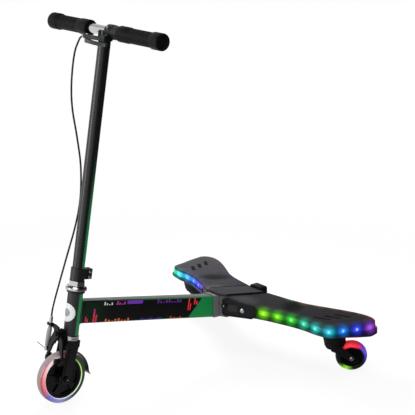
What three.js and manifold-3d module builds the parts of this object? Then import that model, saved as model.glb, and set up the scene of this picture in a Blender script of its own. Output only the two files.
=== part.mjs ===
// Tricycle drifter scooter: one braked front wheel in a raked fork, two wing decks with light bands,
// and an inclined caster under each wing. Millimetres, +X forward, +Y to the rider's left, +Z up.
// The model stands on z = 0 with the middle of its outline over the origin.

import * as THREE from 'three';
import { mergeVertices } from 'three/addons/utils/BufferGeometryUtils.js';
import Module from 'manifold-3d';

const wasm = await Module();
wasm.setup();

const DEGREE = Math.PI / 180;

// Fits shared by the whole scooter, in millimetres
const seatGap = 0.3;
const overrun = 2;
const boltClearance = 0.35;
const weldTolerance = 0.001;

// Facets: sides of a round piece by its size
const largeSides = 40;
const mediumSides = 20;
const smallSides = 10;
const cordSides = 8;
const tyreSides = 28;

// Steps round a quarter turn or a round end, by its size
const fineSteps = 5;
const cornerSteps = 4;
const coarseSteps = 3;
const pocketRootSteps = 2;

// Shares of a bolt head's height and radius that its broken edge leaves
const headFlankShare = 0.6;
const headTopShare = 0.65;

const quarterTurn = Math.PI / 2;
const bothSides = [['left', 1], ['right', -1]];

// Steering geometry
const rake = 9.55 * DEGREE;
const forkOffset = 13.7;

// Front wheel
const wheelRadius = 62.5;
const wheelWidth = 24;
const tyreBeadShare = 0.88;
const tyreShares = [[0.23, 1], [0.11, 0.87], [0.025, 0.55]];
const hubRimRadius = 49.6;
const hubRimInnerRadius = 44;
const hubRimWidth = 21;
const hubWebWidth = 15;
const hubPocketDepth = 4.5;
const hubBossRadius = 15.5;
const hubBossWidth = 23;
const spokeCount = 5;
const spokeShare = 0.36;
const pocketRootShare = 0.12;
const bearingRadius = 11;
const bearingWidth = 7;
const axleRadius = 4;
const hubBoreRadius = 6;

// Fork
const crownClearance = 13;
const crownHeight = 15;
const crownFront = 20;
const crownRear = 18;
const crownCorner = 7;
const legGap = 4;
const legThickness = 4.5;
const legTopFront = 18;
const legTopRear = 15;
const dropoutRadius = 13;
const ribWidth = 7;
const ribHeight = 1.6;
const ribForwardShare = 0.55;
const ribTopDrop = 22;
const steererRadius = 12.7;
const steererWall = 2;
const steererInStem = 36;
const axleHeadRadius = 7;
const axleHeadHeight = 5;

// Brake lug, a plate that stands up in front of the crown
const lugFront = 25;
const lugThickness = 3.2;
const lugHalfWidth = 11;

// Front fender
const fenderGap = 4.5;
const fenderThickness = 2.2;
const fenderWidth = 29;
const fenderStart = 97 * DEGREE;
const fenderEnd = 170 * DEGREE;
const fenderTipAngle = 178 * DEGREE;
const fenderTipReach = 8;
const fenderSteps = 12;
const fenderTabWidth = 12;
const fenderTabLength = 10;

// Head tube and headset
const headTubeRadius = 18;
const headTubeWall = 2.8;
const headTubeLength = 102.6;
const lowerCupRadius = 20;
const lowerCupHeight = 9.8;
const upperCupRadius = 21.5;
const upperCupHeight = 6;
const upperConeRadius = 25.4;
const upperConeHeight = 9;
const upperConeShoulder = 5.4;
const cupSpigotDepth = 8;
const cupSpigotWall = 1.6;
const locknutFlats = 35;
const locknutHeight = 12.6;

// Stem and collar clamp
const stemRadius = 14.3;
const stemWall = 1.3;
const stemReach = 575.2;
const collarRadius = 17.2;
const collarHeight = 28.6;
const earReach = 35;
const earThickness = 8.5;
const collarSlot = 3;
const collarBoltRadius = 2.5;
const collarBoltHeadRadius = 4.4;
const collarBoltHeadHeight = 3.4;
const collarBoltInset = 7;
const collarBoltSpacingShare = 0.46;

// Handlebar and grips
const barRadius = 11.1;
const gripInnerEnd = 58;
const gripOuterEnd = 209;
const gripEndWall = 3.5;
const gripBodyRadius = 16.9;
const gripInnerShoulder = 37;
const gripInnerShoulderRadius = 18.2;
const gripOuterShoulder = 29;
const gripOuterShoulderRadius = 19.2;
const gripEdge = 2;
const gripStepLength = 4;
const gripRecessRadius = 13;
const gripRecessDepth = 1.4;

// Brake lever
const leverClampLength = 19;
const leverClampRadius = 17;
const leverSleeveRadius = 16;
const leverPivotForward = 29.4;
const leverPivotAlong = -26;
const leverArmTop = -13;
const leverArmThickness = 9;
const leverArmWidth = 13;
const leverBladeThickness = 8;
const leverBladeWidth = 12;
const leverBladeTipWidth = 10;
const leverTipForward = 51;
const leverTipAlong = 76;
const leverBladeBulgeShare = 0.09;
const leverBladeSteps = 8;
const leverPinRadius = 3;
const leverPinHeadRadius = 5;
const leverPinHeadHeight = 1.8;
const knuckleForward = 26;
const knuckleRearShare = 0.2;
const knuckleDepth = 14;
const postRadius = 3.6;
const postHeight = 13;
const postForward = 24;
const postAlong = 11;
const barrelRadius = 4.4;
const leverBarrelLength = 6;
const leverTailLength = 6;
const leverBarrelBodyShare = 0.6;
const leverBarrelTaperShare = 0.7;
const leverBarrelNeckShare = 0.8;

// Brake caliper, placed on the fork
const caliperRise = 15.43;
const caliperSpacer = 6.5;
const caliperSpacerRadius = 6;
const caliperBoltRadius = 3;
const caliperArmThickness = 4.8;
const caliperBossRadius = 10.5;
const caliperCapRadius = 6.5;
const caliperCapHeight = 4.5;
const caliperCapFlankShare = 0.6;
const caliperCapEdgeShare = 0.9;
const caliperCapTopShare = 0.45;
const padGap = 2.6;
const padThickness = 6.8;
const padHeight = 11;
const padLength = 27;
const padAboveAxle = 44.93;
const padStudRadius = 3;
const padNutRadius = 5;
const padNutHeight = 4;
const padLugDepth = 11;
const padLugWidth = 7;
const padLugHeight = 17;
const caliperArmWidth = 20;
const padArmShares = [[0, 0], [0.6, 0.33], [0.78, 0.66], [1, 0.86], [1, 1]];
const padArmWidthShares = [1, 0.75, 0.45, 0.31, 0.28];
const stopArmShares = [[0, 0], [0.07, 0.55], [0.44, 0.75], [1, 0.8]];
const stopArmWidthShares = [1, 0.94, 0.5, 0.25];
const anchorArmShares = [[0, 0], [0.6, 0.5], [1, 1]];
const anchorArmWidthShares = [0.9, 0.75, 0.6];
const cableSide = 25;
const cableStopRise = 20;
const cableStopHeight = 6.5;
const cableStopWidth = 16;
const cableAhead = 0.2;
const armBarrelLength = 17;
const armBarrelNeck = 2.8;
const armBarrelTopShare = 0.75;
const anchorSide = 32.5;
const anchorDrop = 45;
const anchorRadius = 2.6;
const anchorHeadRadius = 5;
const anchorHeadHeight = 3.6;
const anchorNutHeight = 7.2;
const bootRadius = 6.2;
const bootEndRadius = 3;
const bootSteps = 8;
const bootSkew = 0.7;
const bootFullness = 0.8;

// Brake cable, with its places as forward, to the side, and the share of the height between its ends
const cableRadius = 2.2;
const cableSteps = 54;
const cableLeadIn = 4;
const cableLeadInDrop = 0.2;
const cableLeadOut = 8;
const cablePlaces = [
  [31.4, -57, 0.9736],
  [34, -60.5, 0.9489],
  [36.6, -60, 0.8886],
  [37.6, -53.5, 0.8066],
  [36, -43.5, 0.7417],
  [24.8, -31.5, 0.6536],
  [14.4, -20, 0.5623],
  [8.2, -18.4, 0.502],
  [4.6, -17.6, 0.4325],
  [5.2, -17.6, 0.3892],
  [9.6, -18.6, 0.3211],
  [18.6, -23, 0.2253],
  [30.8, -26, 0.1124],
  [39.4, -25.6, 0.0428],
];

// Main beam
const beamRise = 5.2;
const beamSlope = 11.2 * DEGREE;
const beamWidth = 28;
const beamHeight = 55;
const beamWall = 2.2;
const beamCorner = 4;
const beamInsert = 24.24;

// Deck centre: hub casting, top strip and tail box. Stations run along X from the deck reference,
// and heights from the middle of the beam there
const deckDistance = 523.6;
const hubFront = 78;
const hubNeckEnd = 58;
const hubShoulder = 50;
const hubRear = -77;
const hubHalfWidth = 33;
const hubNeckWall = 2.8;
const hubWall = 4;
const hubBottomFront = -13;
const hubBottomRear = -19.8;
const stripSlope = 9.8 * DEGREE;
const stripHeight = 38.2;
const stripThickness = 6;
const stripFront = 65;
const stripCorner = 18;
const stripCornerSteps = 6;
const tailLength = 20;
const tailHalfWidth = 22;
const tailBottom = -5.8;
const tailTop = 32.2;
const tailWall = 2.5;
const tailCorner = 5;
const batteryLength = 8.5;
const batteryHeight = 27;
const batteryWidth = 36;
const buttonRadius = 6;
const buttonProud = 3;
const buttonFlange = 2;
const buttonTravelRoom = 2;
const buttonFlangeWidth = 1.8;
const buttonEdge = 1;

// Wings, with shares of the span and the depth for their outline
const wingRoot = 35;
const wingSpan = 300;
const wingDepth = 238;
const wingFront = 50;
const frontEdgeShares = [
  [0, 0],
  [0.092, 0.131],
  [0.206, 0.289],
  [0.269, 0.409],
  [0.324, 0.534],
  [0.353, 0.661],
  [0.357, 0.775],
  [0.408, 0.893],
  [0.576, 0.936],
  [0.731, 0.973],
  [0.908, 1],
];
const rearEdgeShares = [
  [0.597, 0],
  [0.626, 0.117],
  [0.664, 0.255],
  [0.723, 0.393],
  [0.815, 0.527],
  [0.924, 0.688],
  [0.992, 0.829],
  [1, 0.916],
  [0.966, 0.977],
  [0.908, 1],
];
const acrossShares = [0, 0.04, 0.14, 0.34, 0.6, 0.86, 0.96, 1];
const wingStations = 18;
const wingHeight = 22.8;
const wingPitch = 2 * DEGREE;
const wingDroop = 1.47 * DEGREE;
const droopStart = 100;
const rootRiseEnd = 120;
const rootRisePower = 1.5;
const stripStep = 3;
const padSkin = 7;
const padEdgeDrop = 2.6;
const padEdgeWidth = 9;
const padInset = 1;
const dishDepth = 3.2;
const dishDepthShare = 0.5042;
const dishSpanShare = 0.3833;
const dishRadius = 46;
const ventCount = 3;
const ventLength = 42;
const ventWidth = 10;
const ventPitch = 30;
const ventDepth = 2.4;
const ventDepthShare = 0.6366;
const ventSpanShare = 0.744;
const ventTurn = -58 * DEGREE;
const ventRowTurn = 15.3 * DEGREE;

// Light band and lower shell of a wing
const bandHeight = 13;
const bandThickness = 6;
const bandFrontStart = 103;
const bandRearEnd = 66;
const shellBottom = -10.8;
const shellPitch = 7.2 * DEGREE;
const shellFlareRoot = 1.5;
const shellFlareTip = 5;
const shellWall = 3;
const shellFloor = 4;
const shellEdgeRise = 4;
const shellEdgeWidth = 10;
const shellTipRise = 6;
const shellTipWidth = 12;
const shellTipPower = 4;

// Root plates and bolts in front of the wing roots
const rootPlateStart = 11;
const rootPlateLength = 86;
const rootPlateHeightFront = 47;
const rootPlateHeightRear = 33;
const rootPlateBase = -7.8;
const rootPlateThickness = 2.4;
const rootRimWidth = 3.4;
const rootRimHeight = 2;
const rootPlateCorner = 9;
const rootBoltAlong = 43;
const rootBoltRise = 19;
const rootBoltRadius = 3;
const rootBoltHeadRadius = 6.2;
const rootBoltHeadHeight = 3.4;
const rootBoltLength = 12;

// Casters
const casterDepthShare = 0.6218;
const casterInset = 61;
const casterIncline = 15 * DEGREE;
const casterSwivel = 42 * DEGREE;
const casterTrail = 33;
const casterDrop = 36;
const casterRadius = 39;
const casterWidth = 24;
const casterHubRadius = 27;
const casterHubBossRadius = 12;
const casterHubBossWidth = 25;
const casterRimInnerShare = 0.86;
const casterRimHalfShare = 0.42;
const casterWebHalfShare = 0.36;
const casterForkTop = 5.2;
const casterPlate = 4.7;
const casterPlateRadius = 25;
const casterBodyRadius = 14;
const casterBodyDepth = 19;
const casterWebDepthShare = 0.6;
const casterArmThickness = 4;
const casterArmGap = 1.6;
const casterArmWidth = 22;
const casterArmEndRadius = 9;
const casterArmEndTurn = 27 * DEGREE;
const casterArmEndSteps = 8;
const casterWheelClearance = 2;
const casterBearingGap = 0.4;
const mountRadius = 27;
const mountRingDepth = 1.6;
const mountRingPitch = 5.5;
const mountRingCount = 2;
const kingpinRadius = 5;
const kingpinLength = 14;
const casterAxleRadius = 3.5;
const casterAxleHeadRadius = 5.6;
const casterAxleHeadHeight = 3;

// Colours and finishes of the real surfaces
const finishes = {
  blackPaint: { color: '#17181a', metalness: 0.2, roughness: 0.45 },
  greyPaint: { color: '#5b595c', metalness: 0.3, roughness: 0.6 },
  blackPlastic: { color: '#0e0f10', metalness: 0, roughness: 0.5 },
  deckPlastic: { color: '#3a3a3c', metalness: 0, roughness: 0.75 },
  rubber: { color: '#1a1a1b', metalness: 0, roughness: 0.85 },
  greyRubber: { color: '#97938f', metalness: 0, roughness: 0.7 },
  chrome: { color: '#d9dbde', metalness: 1, roughness: 0.15 },
  steel: { color: '#8b8e92', metalness: 1, roughness: 0.35 },
  cast: { color: '#5c605f', metalness: 0.9, roughness: 0.45 },
  clearBand: { color: '#3fd0c4', metalness: 0, roughness: 0.2 },
  clearTyre: { color: '#f0c4cf', metalness: 0, roughness: 0.25 },
  battery: { color: '#2c3c78', metalness: 0, roughness: 0.5 },
};

// Sizes worked out from the ones above, as heights along the steering axis
const axleAlong = (wheelRadius - forkOffset * Math.sin(rake)) / Math.cos(rake);
const crownBottom = axleAlong + wheelRadius + crownClearance;
const crownTop = crownBottom + crownHeight;
const lowerCupBottom = crownTop + seatGap;
const headTubeBottom = lowerCupBottom + lowerCupHeight + seatGap;
const headTubeTop = headTubeBottom + headTubeLength;
const upperCupBottom = headTubeTop + seatGap;
const upperConeBottom = upperCupBottom + upperCupHeight + seatGap;
const locknutBottom = upperConeBottom + upperConeHeight + seatGap;
const stemBottom = locknutBottom + locknutHeight + seatGap;
const barHeight = stemBottom + stemReach;
const headBore = headTubeRadius - headTubeWall;
const leverClampStart = stemRadius + 2 * seatGap;
const steererBore = steererRadius + seatGap;
const legInner = wheelWidth / 2 + legGap;
const legOuter = legInner + legThickness;
const caliperHeight = crownTop + caliperRise;
const padDrop = caliperHeight - axleAlong - padAboveAxle;
const beamJointHeight = (headTubeBottom + headTubeLength / 2) * Math.cos(rake) + beamRise;
const beamJointSetback = beamJointHeight * Math.tan(rake);
const beamLength = (deckDistance - beamJointSetback - hubFront + beamInsert) / Math.cos(beamSlope);
const deckHeight = beamJointHeight - (deckDistance - beamJointSetback) * Math.tan(beamSlope);
const dishCentreAlong = wingFront - dishDepthShare * wingDepth;
const dishCentreSide = wingRoot + dishSpanShare * wingSpan;
const ventAlong = wingFront - ventDepthShare * wingDepth;
const ventSide = wingRoot + ventSpanShare * wingSpan;
const casterAlong = wingFront - casterDepthShare * wingDepth;
const casterSide = wingRoot + wingSpan - casterInset;
const casterHeight = casterStanding() - deckHeight;

const scooter = new THREE.Group();

// Closed, outward-facing geometry whose corners are shared
function closed(geometry) {
  const bare = geometry.index ? geometry.clone() : mergeVertices(geometry.clone());
  bare.deleteAttribute('normal');
  bare.deleteAttribute('uv');
  const merged = mergeVertices(bare, weldTolerance);
  const source = merged.index.array;
  const kept = [];
  for (let i = 0; i < source.length; i += 3) {
    const [a, b, c] = [source[i], source[i + 1], source[i + 2]];
    if (a !== b && b !== c && c !== a) kept.push(a, b, c);
  }
  if (signedVolume(merged.attributes.position, kept) < 0) kept.reverse();
  const result = new THREE.BufferGeometry();
  const places = new Float32Array(merged.attributes.position.array);
  result.setAttribute('position', new THREE.BufferAttribute(places, 3));
  result.setIndex(new THREE.BufferAttribute(new Uint32Array(kept), 1));
  return result;
}

function signedVolume(position, index) {
  const [a, b, c] = [new THREE.Vector3(), new THREE.Vector3(), new THREE.Vector3()];
  let sum = 0;
  for (let i = 0; i < index.length; i += 3) {
    a.fromBufferAttribute(position, index[i]);
    b.fromBufferAttribute(position, index[i + 1]);
    c.fromBufferAttribute(position, index[i + 2]);
    sum += a.dot(b.cross(c));
  }
  return sum;
}

function toSolid(geometry) {
  const ready = closed(geometry);
  return new wasm.Manifold(new wasm.Mesh({
    numProp: 3,
    vertProperties: ready.attributes.position.array,
    triVerts: ready.index.array,
  }));
}

function fromSolid(solid) {
  const made = solid.getMesh();
  const geometry = new THREE.BufferGeometry();
  geometry.setAttribute('position', new THREE.BufferAttribute(new Float32Array(made.vertProperties), 3));
  geometry.setIndex(new THREE.BufferAttribute(new Uint32Array(made.triVerts), 1));
  return geometry;
}

function join(...geometries) {
  const solids = geometries.map(toSolid);
  return fromSolid(solids.reduce((whole, next) => whole.add(next)));
}

function cut(geometry, ...tools) {
  const solids = tools.map(toSolid);
  return fromSolid(solids.reduce((whole, next) => whole.subtract(next), toSolid(geometry)));
}

function addMesh(parent, name, geometry, finish) {
  const ready = closed(geometry);
  ready.computeVertexNormals();
  const mesh = new THREE.Mesh(ready, new THREE.MeshStandardMaterial(finishes[finish]));
  mesh.name = name;
  parent.add(mesh);
  return mesh;
}

function group(parent, x, y, z) {
  const made = new THREE.Group();
  made.position.set(x, y, z);
  parent.add(made);
  return made;
}

// A box between two corners
function block(low, high) {
  const size = high.map((value, i) => value - low[i]);
  const middle = high.map((value, i) => (value + low[i]) / 2);
  return new THREE.BoxGeometry(...size).translate(...middle);
}

// A turned piece along Z, from pairs of radius and height
function turned(profile, sides) {
  const points = profile.map(([radius, height]) => new THREE.Vector2(radius, height));
  points.push(points[0].clone());
  return new THREE.LatheGeometry(points, sides).rotateX(Math.PI / 2);
}

function rod(radius, low, high, sides) {
  return turned([[0, low], [radius, low], [radius, high], [0, high]], sides);
}

function ring(outer, inner, low, high, sides) {
  return turned([[inner, low], [outer, low], [outer, high], [inner, high]], sides);
}

function alongX(geometry) {
  return geometry.rotateY(Math.PI / 2);
}

function alongY(geometry) {
  return geometry.rotateX(-Math.PI / 2);
}

// An outline of [x, y] points drawn up along Z
function drawn(outline, low, high) {
  const shape = new THREE.Shape(outline.map(([x, y]) => new THREE.Vector2(x, y)));
  const options = { depth: high - low, bevelEnabled: false };
  return new THREE.ExtrudeGeometry(shape, options).translate(0, 0, low);
}

// An outline of [x, z] points drawn across Y, centred on y = middle
function drawnAcross(outline, thickness, middle) {
  const flat = outline.map(([x, z]) => [x, -z]);
  return drawn(flat, -thickness / 2, thickness / 2).rotateX(-Math.PI / 2).translate(0, middle, 0);
}

// An outline of [y, z] points drawn forward along X
function drawnForward(outline, low, high) {
  return drawn(outline, low, high).rotateX(Math.PI / 2).rotateZ(Math.PI / 2);
}

// A bolt head's profile above its seat, with a broken edge
function headProfile(radius, seat, height) {
  return [[radius, seat], [radius, seat + height * headFlankShare], [radius * headTopShare, seat + height],
    [0, seat + height]];
}

// The width across the flats of a hexagon whose corners reach a radius
function flatsAround(radius) {
  return radius * Math.sqrt(3);
}

function hexagon(flats) {
  const radius = flats / Math.sqrt(3);
  const corners = [0, 1, 2, 3, 4, 5];
  const turns = corners.map((i) => 2 * Math.PI * i / corners.length);
  return turns.map((turn) => [radius * Math.cos(turn), radius * Math.sin(turn)]);
}

function arcPoints(centreX, centreY, radius, from, to, steps) {
  const points = [];
  for (let i = 0; i <= steps; i += 1) {
    const angle = from + (to - from) * i / steps;
    points.push([centreX + radius * Math.cos(angle), centreY + radius * Math.sin(angle)]);
  }
  return points;
}

// A rectangle with round corners, from its low and high corners
function roundedRectangle(lowX, lowY, highX, highY, radius, steps) {
  return [
    ...arcPoints(highX - radius, highY - radius, radius, 0, quarterTurn, steps),
    ...arcPoints(lowX + radius, highY - radius, radius, quarterTurn, 2 * quarterTurn, steps),
    ...arcPoints(lowX + radius, lowY + radius, radius, 2 * quarterTurn, 3 * quarterTurn, steps),
    ...arcPoints(highX - radius, lowY + radius, radius, 3 * quarterTurn, 4 * quarterTurn, steps),
  ];
}

// A slot with round ends, centred on the origin and long in X
function slotOutline(length, width, steps) {
  const half = (length - width) / 2;
  return [
    ...arcPoints(half, 0, width / 2, -quarterTurn, quarterTurn, steps),
    ...arcPoints(-half, 0, width / 2, quarterTurn, 3 * quarterTurn, steps),
  ];
}

// A strip of changing width around a middle line, as an outline
function ribbonOutline(middle, widths, endSteps) {
  const left = [];
  const right = [];
  middle.forEach(([x, y], i) => {
    const [nextX, nextY] = middle[Math.min(i + 1, middle.length - 1)];
    const [lastX, lastY] = middle[Math.max(i - 1, 0)];
    const run = Math.hypot(nextX - lastX, nextY - lastY);
    const [normalX, normalY] = [-(nextY - lastY) / run, (nextX - lastX) / run];
    left.push([x + normalX * widths[i] / 2, y + normalY * widths[i] / 2]);
    right.push([x - normalX * widths[i] / 2, y - normalY * widths[i] / 2]);
  });
  return [...right, ...roundEnd(right.at(-1), left.at(-1), endSteps), ...left.reverse(),
    ...roundEnd(left.at(-1), right[0], endSteps)];
}

function roundEnd([fromX, fromY], [toX, toY], steps) {
  const [middleX, middleY] = [(fromX + toX) / 2, (fromY + toY) / 2];
  const start = Math.atan2(fromY - middleY, fromX - middleX);
  const radius = Math.hypot(fromX - middleX, fromY - middleY);
  return arcPoints(middleX, middleY, radius, start, start + Math.PI, steps).slice(1, -1);
}

// Steering frame: z runs up the steering axis from the ground, x runs forward
function steeringGroup(parent) {
  const made = group(parent, 0, 0, 0);
  made.rotation.y = -rake;
  return made;
}

function inSteeringFrame(geometry) {
  return geometry.rotateY(-rake);
}

// Main frame: head tube with the beam welded behind it
function headTubeSolid(radius, low, high) {
  return inSteeringFrame(rod(radius, low, high, largeSides));
}

function beamSolid(width, height, corner, from, to) {
  const section = roundedRectangle(-width / 2, -height / 2, width / 2, height / 2, corner, coarseSteps);
  const laid = drawnForward(section, -to, -from).rotateY(-beamSlope);
  return laid.translate(-beamJointSetback, 0, beamJointHeight);
}

function buildMainFrame(parent) {
  const tube = headTubeSolid(headTubeRadius, headTubeBottom, headTubeTop);
  const beam = beamSolid(beamWidth, beamHeight, beamCorner, 0, beamLength);
  const hollow = beamSolid(beamWidth - 2 * beamWall, beamHeight - 2 * beamWall, beamCorner - beamWall,
    headTubeRadius + beamWall, beamLength + overrun);
  const bore = headTubeSolid(headBore, headTubeBottom - overrun, headTubeTop + overrun);
  addMesh(parent, 'main_frame', cut(join(tube, cut(beam, hollow)), bore), 'blackPaint');
}

// Bearing cups pressed into the head tube
function cup(radius, flangeLow, flangeHigh, spigotEnd) {
  const spigotRadius = headBore - seatGap;
  const bore = spigotRadius - cupSpigotWall;
  const flangeSeat = spigotEnd > flangeHigh ? flangeHigh : flangeLow;
  const flangeFace = spigotEnd > flangeHigh ? flangeLow : flangeHigh;
  return turned([[bore, flangeFace], [radius, flangeFace], [radius, flangeSeat], [spigotRadius, flangeSeat],
    [spigotRadius, spigotEnd], [bore, spigotEnd]], mediumSides);
}

function buildCups(parent) {
  const lowerTop = lowerCupBottom + lowerCupHeight;
  const upperTop = upperCupBottom + upperCupHeight;
  const lower = cup(lowerCupRadius, lowerCupBottom, lowerTop, lowerTop + cupSpigotDepth);
  addMesh(parent, 'lower_cup', lower, 'chrome');
  const upper = cup(upperCupRadius, upperCupBottom, upperTop, upperCupBottom - cupSpigotDepth);
  addMesh(parent, 'upper_cup', upper, 'chrome');
}

// Fork: crown, legs, brake lug and the steerer tube in one weldment
function legOutline() {
  const slant = Math.atan2(forkOffset - (legTopFront - legTopRear) / 2, crownBottom - axleAlong);
  const end = arcPoints(forkOffset, axleAlong, dropoutRadius, -slant, -Math.PI - slant, mediumSides / 2);
  return [[-legTopRear, crownTop], [legTopFront, crownTop], ...end];
}

function ribOutline() {
  const from = [forkOffset + dropoutRadius * ribForwardShare / 2, axleAlong + dropoutRadius];
  const to = [legTopFront * ribForwardShare, crownTop - ribTopDrop];
  return ribbonOutline([from, to], [ribWidth, ribWidth], cornerSteps);
}

// The steerer tube, closed where it enters the crown
function steererTube() {
  const top = stemBottom + steererInStem;
  const bore = steererRadius - steererWall;
  return turned([[0, crownBottom + overrun], [steererRadius, crownBottom + overrun], [steererRadius, top],
    [bore, top], [bore, crownTop], [0, crownTop]], mediumSides);
}

function brakeLug() {
  const lugSide = [[-lugHalfWidth, crownBottom], [lugHalfWidth, crownBottom],
    ...arcPoints(0, caliperHeight, lugHalfWidth, 0, Math.PI, smallSides / 2)];
  const foot = block([0, -lugHalfWidth, crownBottom], [lugFront, lugHalfWidth, crownTop - overrun]);
  return join(drawnForward(lugSide, lugFront - lugThickness, lugFront), foot);
}

function buildFork(parent) {
  const section = roundedRectangle(-crownRear, -legOuter, crownFront, legOuter, crownCorner, cornerSteps);
  const crown = drawn(section, crownBottom, crownTop);
  const legMiddle = (legInner + legOuter) / 2;
  const ribMiddle = legOuter + (ribHeight - seatGap) / 2;
  const legs = bothSides.map(([, side]) => drawnAcross(legOutline(), legThickness, side * legMiddle));
  const ribs = bothSides.map(([, side]) => drawnAcross(ribOutline(), ribHeight + seatGap, side * ribMiddle));
  const holeEnd = legOuter + overrun;
  const axleHole = alongY(rod(axleRadius + boltClearance, -holeEnd, holeEnd, smallSides))
    .translate(forkOffset, 0, axleAlong);
  const boltHole = alongX(rod(caliperBoltRadius + boltClearance, lugFront - lugThickness - overrun,
    lugFront + overrun, smallSides)).translate(0, 0, caliperHeight);
  const whole = join(crown, steererTube(), ...legs, ...ribs, brakeLug());
  addMesh(parent, 'fork', cut(whole, axleHole, boltHole), 'blackPaint');
}

function buildHeadset(parent) {
  const coneTop = upperConeBottom + upperConeHeight;
  const shoulder = upperConeBottom + upperConeShoulder;
  const cone = turned([[steererBore, upperConeBottom], [upperConeRadius, upperConeBottom],
    [upperConeRadius, shoulder], [upperCupRadius, coneTop], [steererBore, coneTop]], mediumSides);
  addMesh(parent, 'upper_cone', cone, 'chrome');
  const nut = drawn(hexagon(locknutFlats), locknutBottom, locknutBottom + locknutHeight);
  const bore = rod(steererBore, locknutBottom - overrun, stemBottom + overrun, mediumSides);
  addMesh(parent, 'locknut', cut(nut, bore), 'chrome');
}

// Fender behind the front wheel, held under the crown by its tab
function buildFender(parent) {
  const inner = wheelRadius + fenderGap;
  const outer = inner + fenderThickness;
  const tip = fenderTipReach + inner;
  const centre = [forkOffset, axleAlong];
  const tipPoints = arcPoints(...centre, tip, fenderTipAngle, fenderTipAngle, 1).slice(1);
  const outline = [...arcPoints(...centre, outer, fenderStart, fenderEnd, fenderSteps), ...tipPoints,
    ...arcPoints(...centre, inner, fenderEnd, fenderStart, fenderSteps)];
  const blade = drawnAcross(outline, fenderWidth, 0);
  const tabLow = axleAlong + inner;
  const tabMiddle = forkOffset + inner * Math.cos(fenderStart);
  const tab = block([tabMiddle - fenderTabLength, -fenderTabWidth / 2, tabLow - fenderThickness],
    [tabMiddle, fenderTabWidth / 2, crownBottom - seatGap]);
  const wheelRoom = alongY(rod(inner, -fenderWidth, fenderWidth, largeSides))
    .translate(forkOffset, 0, axleAlong);
  addMesh(parent, 'front_fender', join(blade, cut(tab, wheelRoom)), 'blackPlastic');
}

// Front wheel: clear tyre on a black hub with a bearing each side
function tyreProfile(radius, innerRadius, width) {
  const half = width / 2;
  const side = tyreShares.map(([depthShare, widthShare]) => [radius - depthShare * width, widthShare * half]);
  const beads = [[innerRadius, tyreBeadShare * half], [innerRadius + tyreShares[0][0] * half, half]];
  const upper = [...beads, ...side];
  const lower = upper.map(([r, y]) => [r, -y]).reverse();
  return [...upper, [radius, 0], ...lower];
}

function sector(innerRadius, outerRadius, from, to) {
  return [...arcPoints(0, 0, outerRadius, from, to, cornerSteps),
    ...arcPoints(0, 0, innerRadius, to, from, pocketRootSteps)];
}

function hubPockets(innerRadius, outerRadius, webHalf, depth) {
  const tools = [];
  const pitch = 2 * Math.PI / spokeCount;
  for (let i = 0; i < spokeCount; i += 1) {
    const from = i * pitch + pitch * spokeShare / 2;
    const to = (i + 1) * pitch - pitch * spokeShare / 2;
    const outline = sector(innerRadius, outerRadius, from, to);
    tools.push(drawn(outline, webHalf - depth, webHalf + overrun));
    tools.push(drawn(outline, -webHalf - overrun, depth - webHalf));
  }
  return tools;
}

function hubBody(sizes, sides) {
  const { rim, rimInner, rimHalf, webHalf, boss, bossHalf, bore } = sizes;
  return turned([[bore, -bossHalf], [boss, -bossHalf], [boss, -webHalf], [rimInner, -webHalf],
    [rimInner, -rimHalf], [rim, -rimHalf], [rim, rimHalf], [rimInner, rimHalf], [rimInner, webHalf],
    [boss, webHalf], [boss, bossHalf], [bore, bossHalf]], sides);
}

function buildFrontWheel(steering) {
  const wheel = group(steering, forkOffset, 0, axleAlong);
  wheel.name = 'front_wheel_axis';
  const tyre = turned(tyreProfile(wheelRadius, hubRimRadius + seatGap, wheelWidth), largeSides);
  addMesh(wheel, 'front_tyre', alongY(tyre), 'clearTyre');
  const bossHalf = hubBossWidth / 2;
  const pocketRoom = (hubRimInnerRadius - hubBossRadius) * pocketRootShare;
  const body = hubBody({ rim: hubRimRadius, rimInner: hubRimInnerRadius, rimHalf: hubRimWidth / 2,
    webHalf: hubWebWidth / 2, boss: hubBossRadius, bossHalf, bore: hubBoreRadius }, largeSides);
  const seatFloor = bossHalf - bearingWidth;
  const seats = [rod(bearingRadius + seatGap, seatFloor, bossHalf + overrun, mediumSides),
    rod(bearingRadius + seatGap, -bossHalf - overrun, -seatFloor, mediumSides)];
  const [pocketInner, pocketOuter] = [hubBossRadius + pocketRoom, hubRimInnerRadius - pocketRoom];
  const pockets = hubPockets(pocketInner, pocketOuter, hubWebWidth / 2, hubPocketDepth);
  addMesh(wheel, 'front_hub', alongY(cut(body, ...seats, ...pockets)), 'blackPlastic');
  for (const [label, side] of bothSides) {
    const bearing = ring(bearingRadius, axleRadius + seatGap, 0, bearingWidth - seatGap, mediumSides);
    const place = side > 0 ? bossHalf - bearingWidth + seatGap : -bossHalf;
    addMesh(wheel, `front_bearing_${label}`, alongY(bearing).translate(0, place, 0), 'steel');
  }
}

function buildFrontAxle(steering) {
  const holder = group(steering, forkOffset, 0, axleAlong);
  const seat = legOuter + seatGap;
  const end = seat + axleHeadHeight + overrun;
  const head = drawn(hexagon(flatsAround(axleHeadRadius)), -seat - axleHeadHeight, -seat);
  const shaft = rod(axleRadius, -seat - overrun, end, smallSides);
  addMesh(holder, 'front_axle', alongY(join(head, shaft)), 'steel');
  const nut = drawn(hexagon(flatsAround(axleHeadRadius)), seat, seat + axleHeadHeight);
  const bore = rod(axleRadius + seatGap, seat - overrun, end + overrun, smallSides);
  addMesh(holder, 'front_axle_nut', alongY(cut(nut, bore)), 'steel');
}

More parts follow.
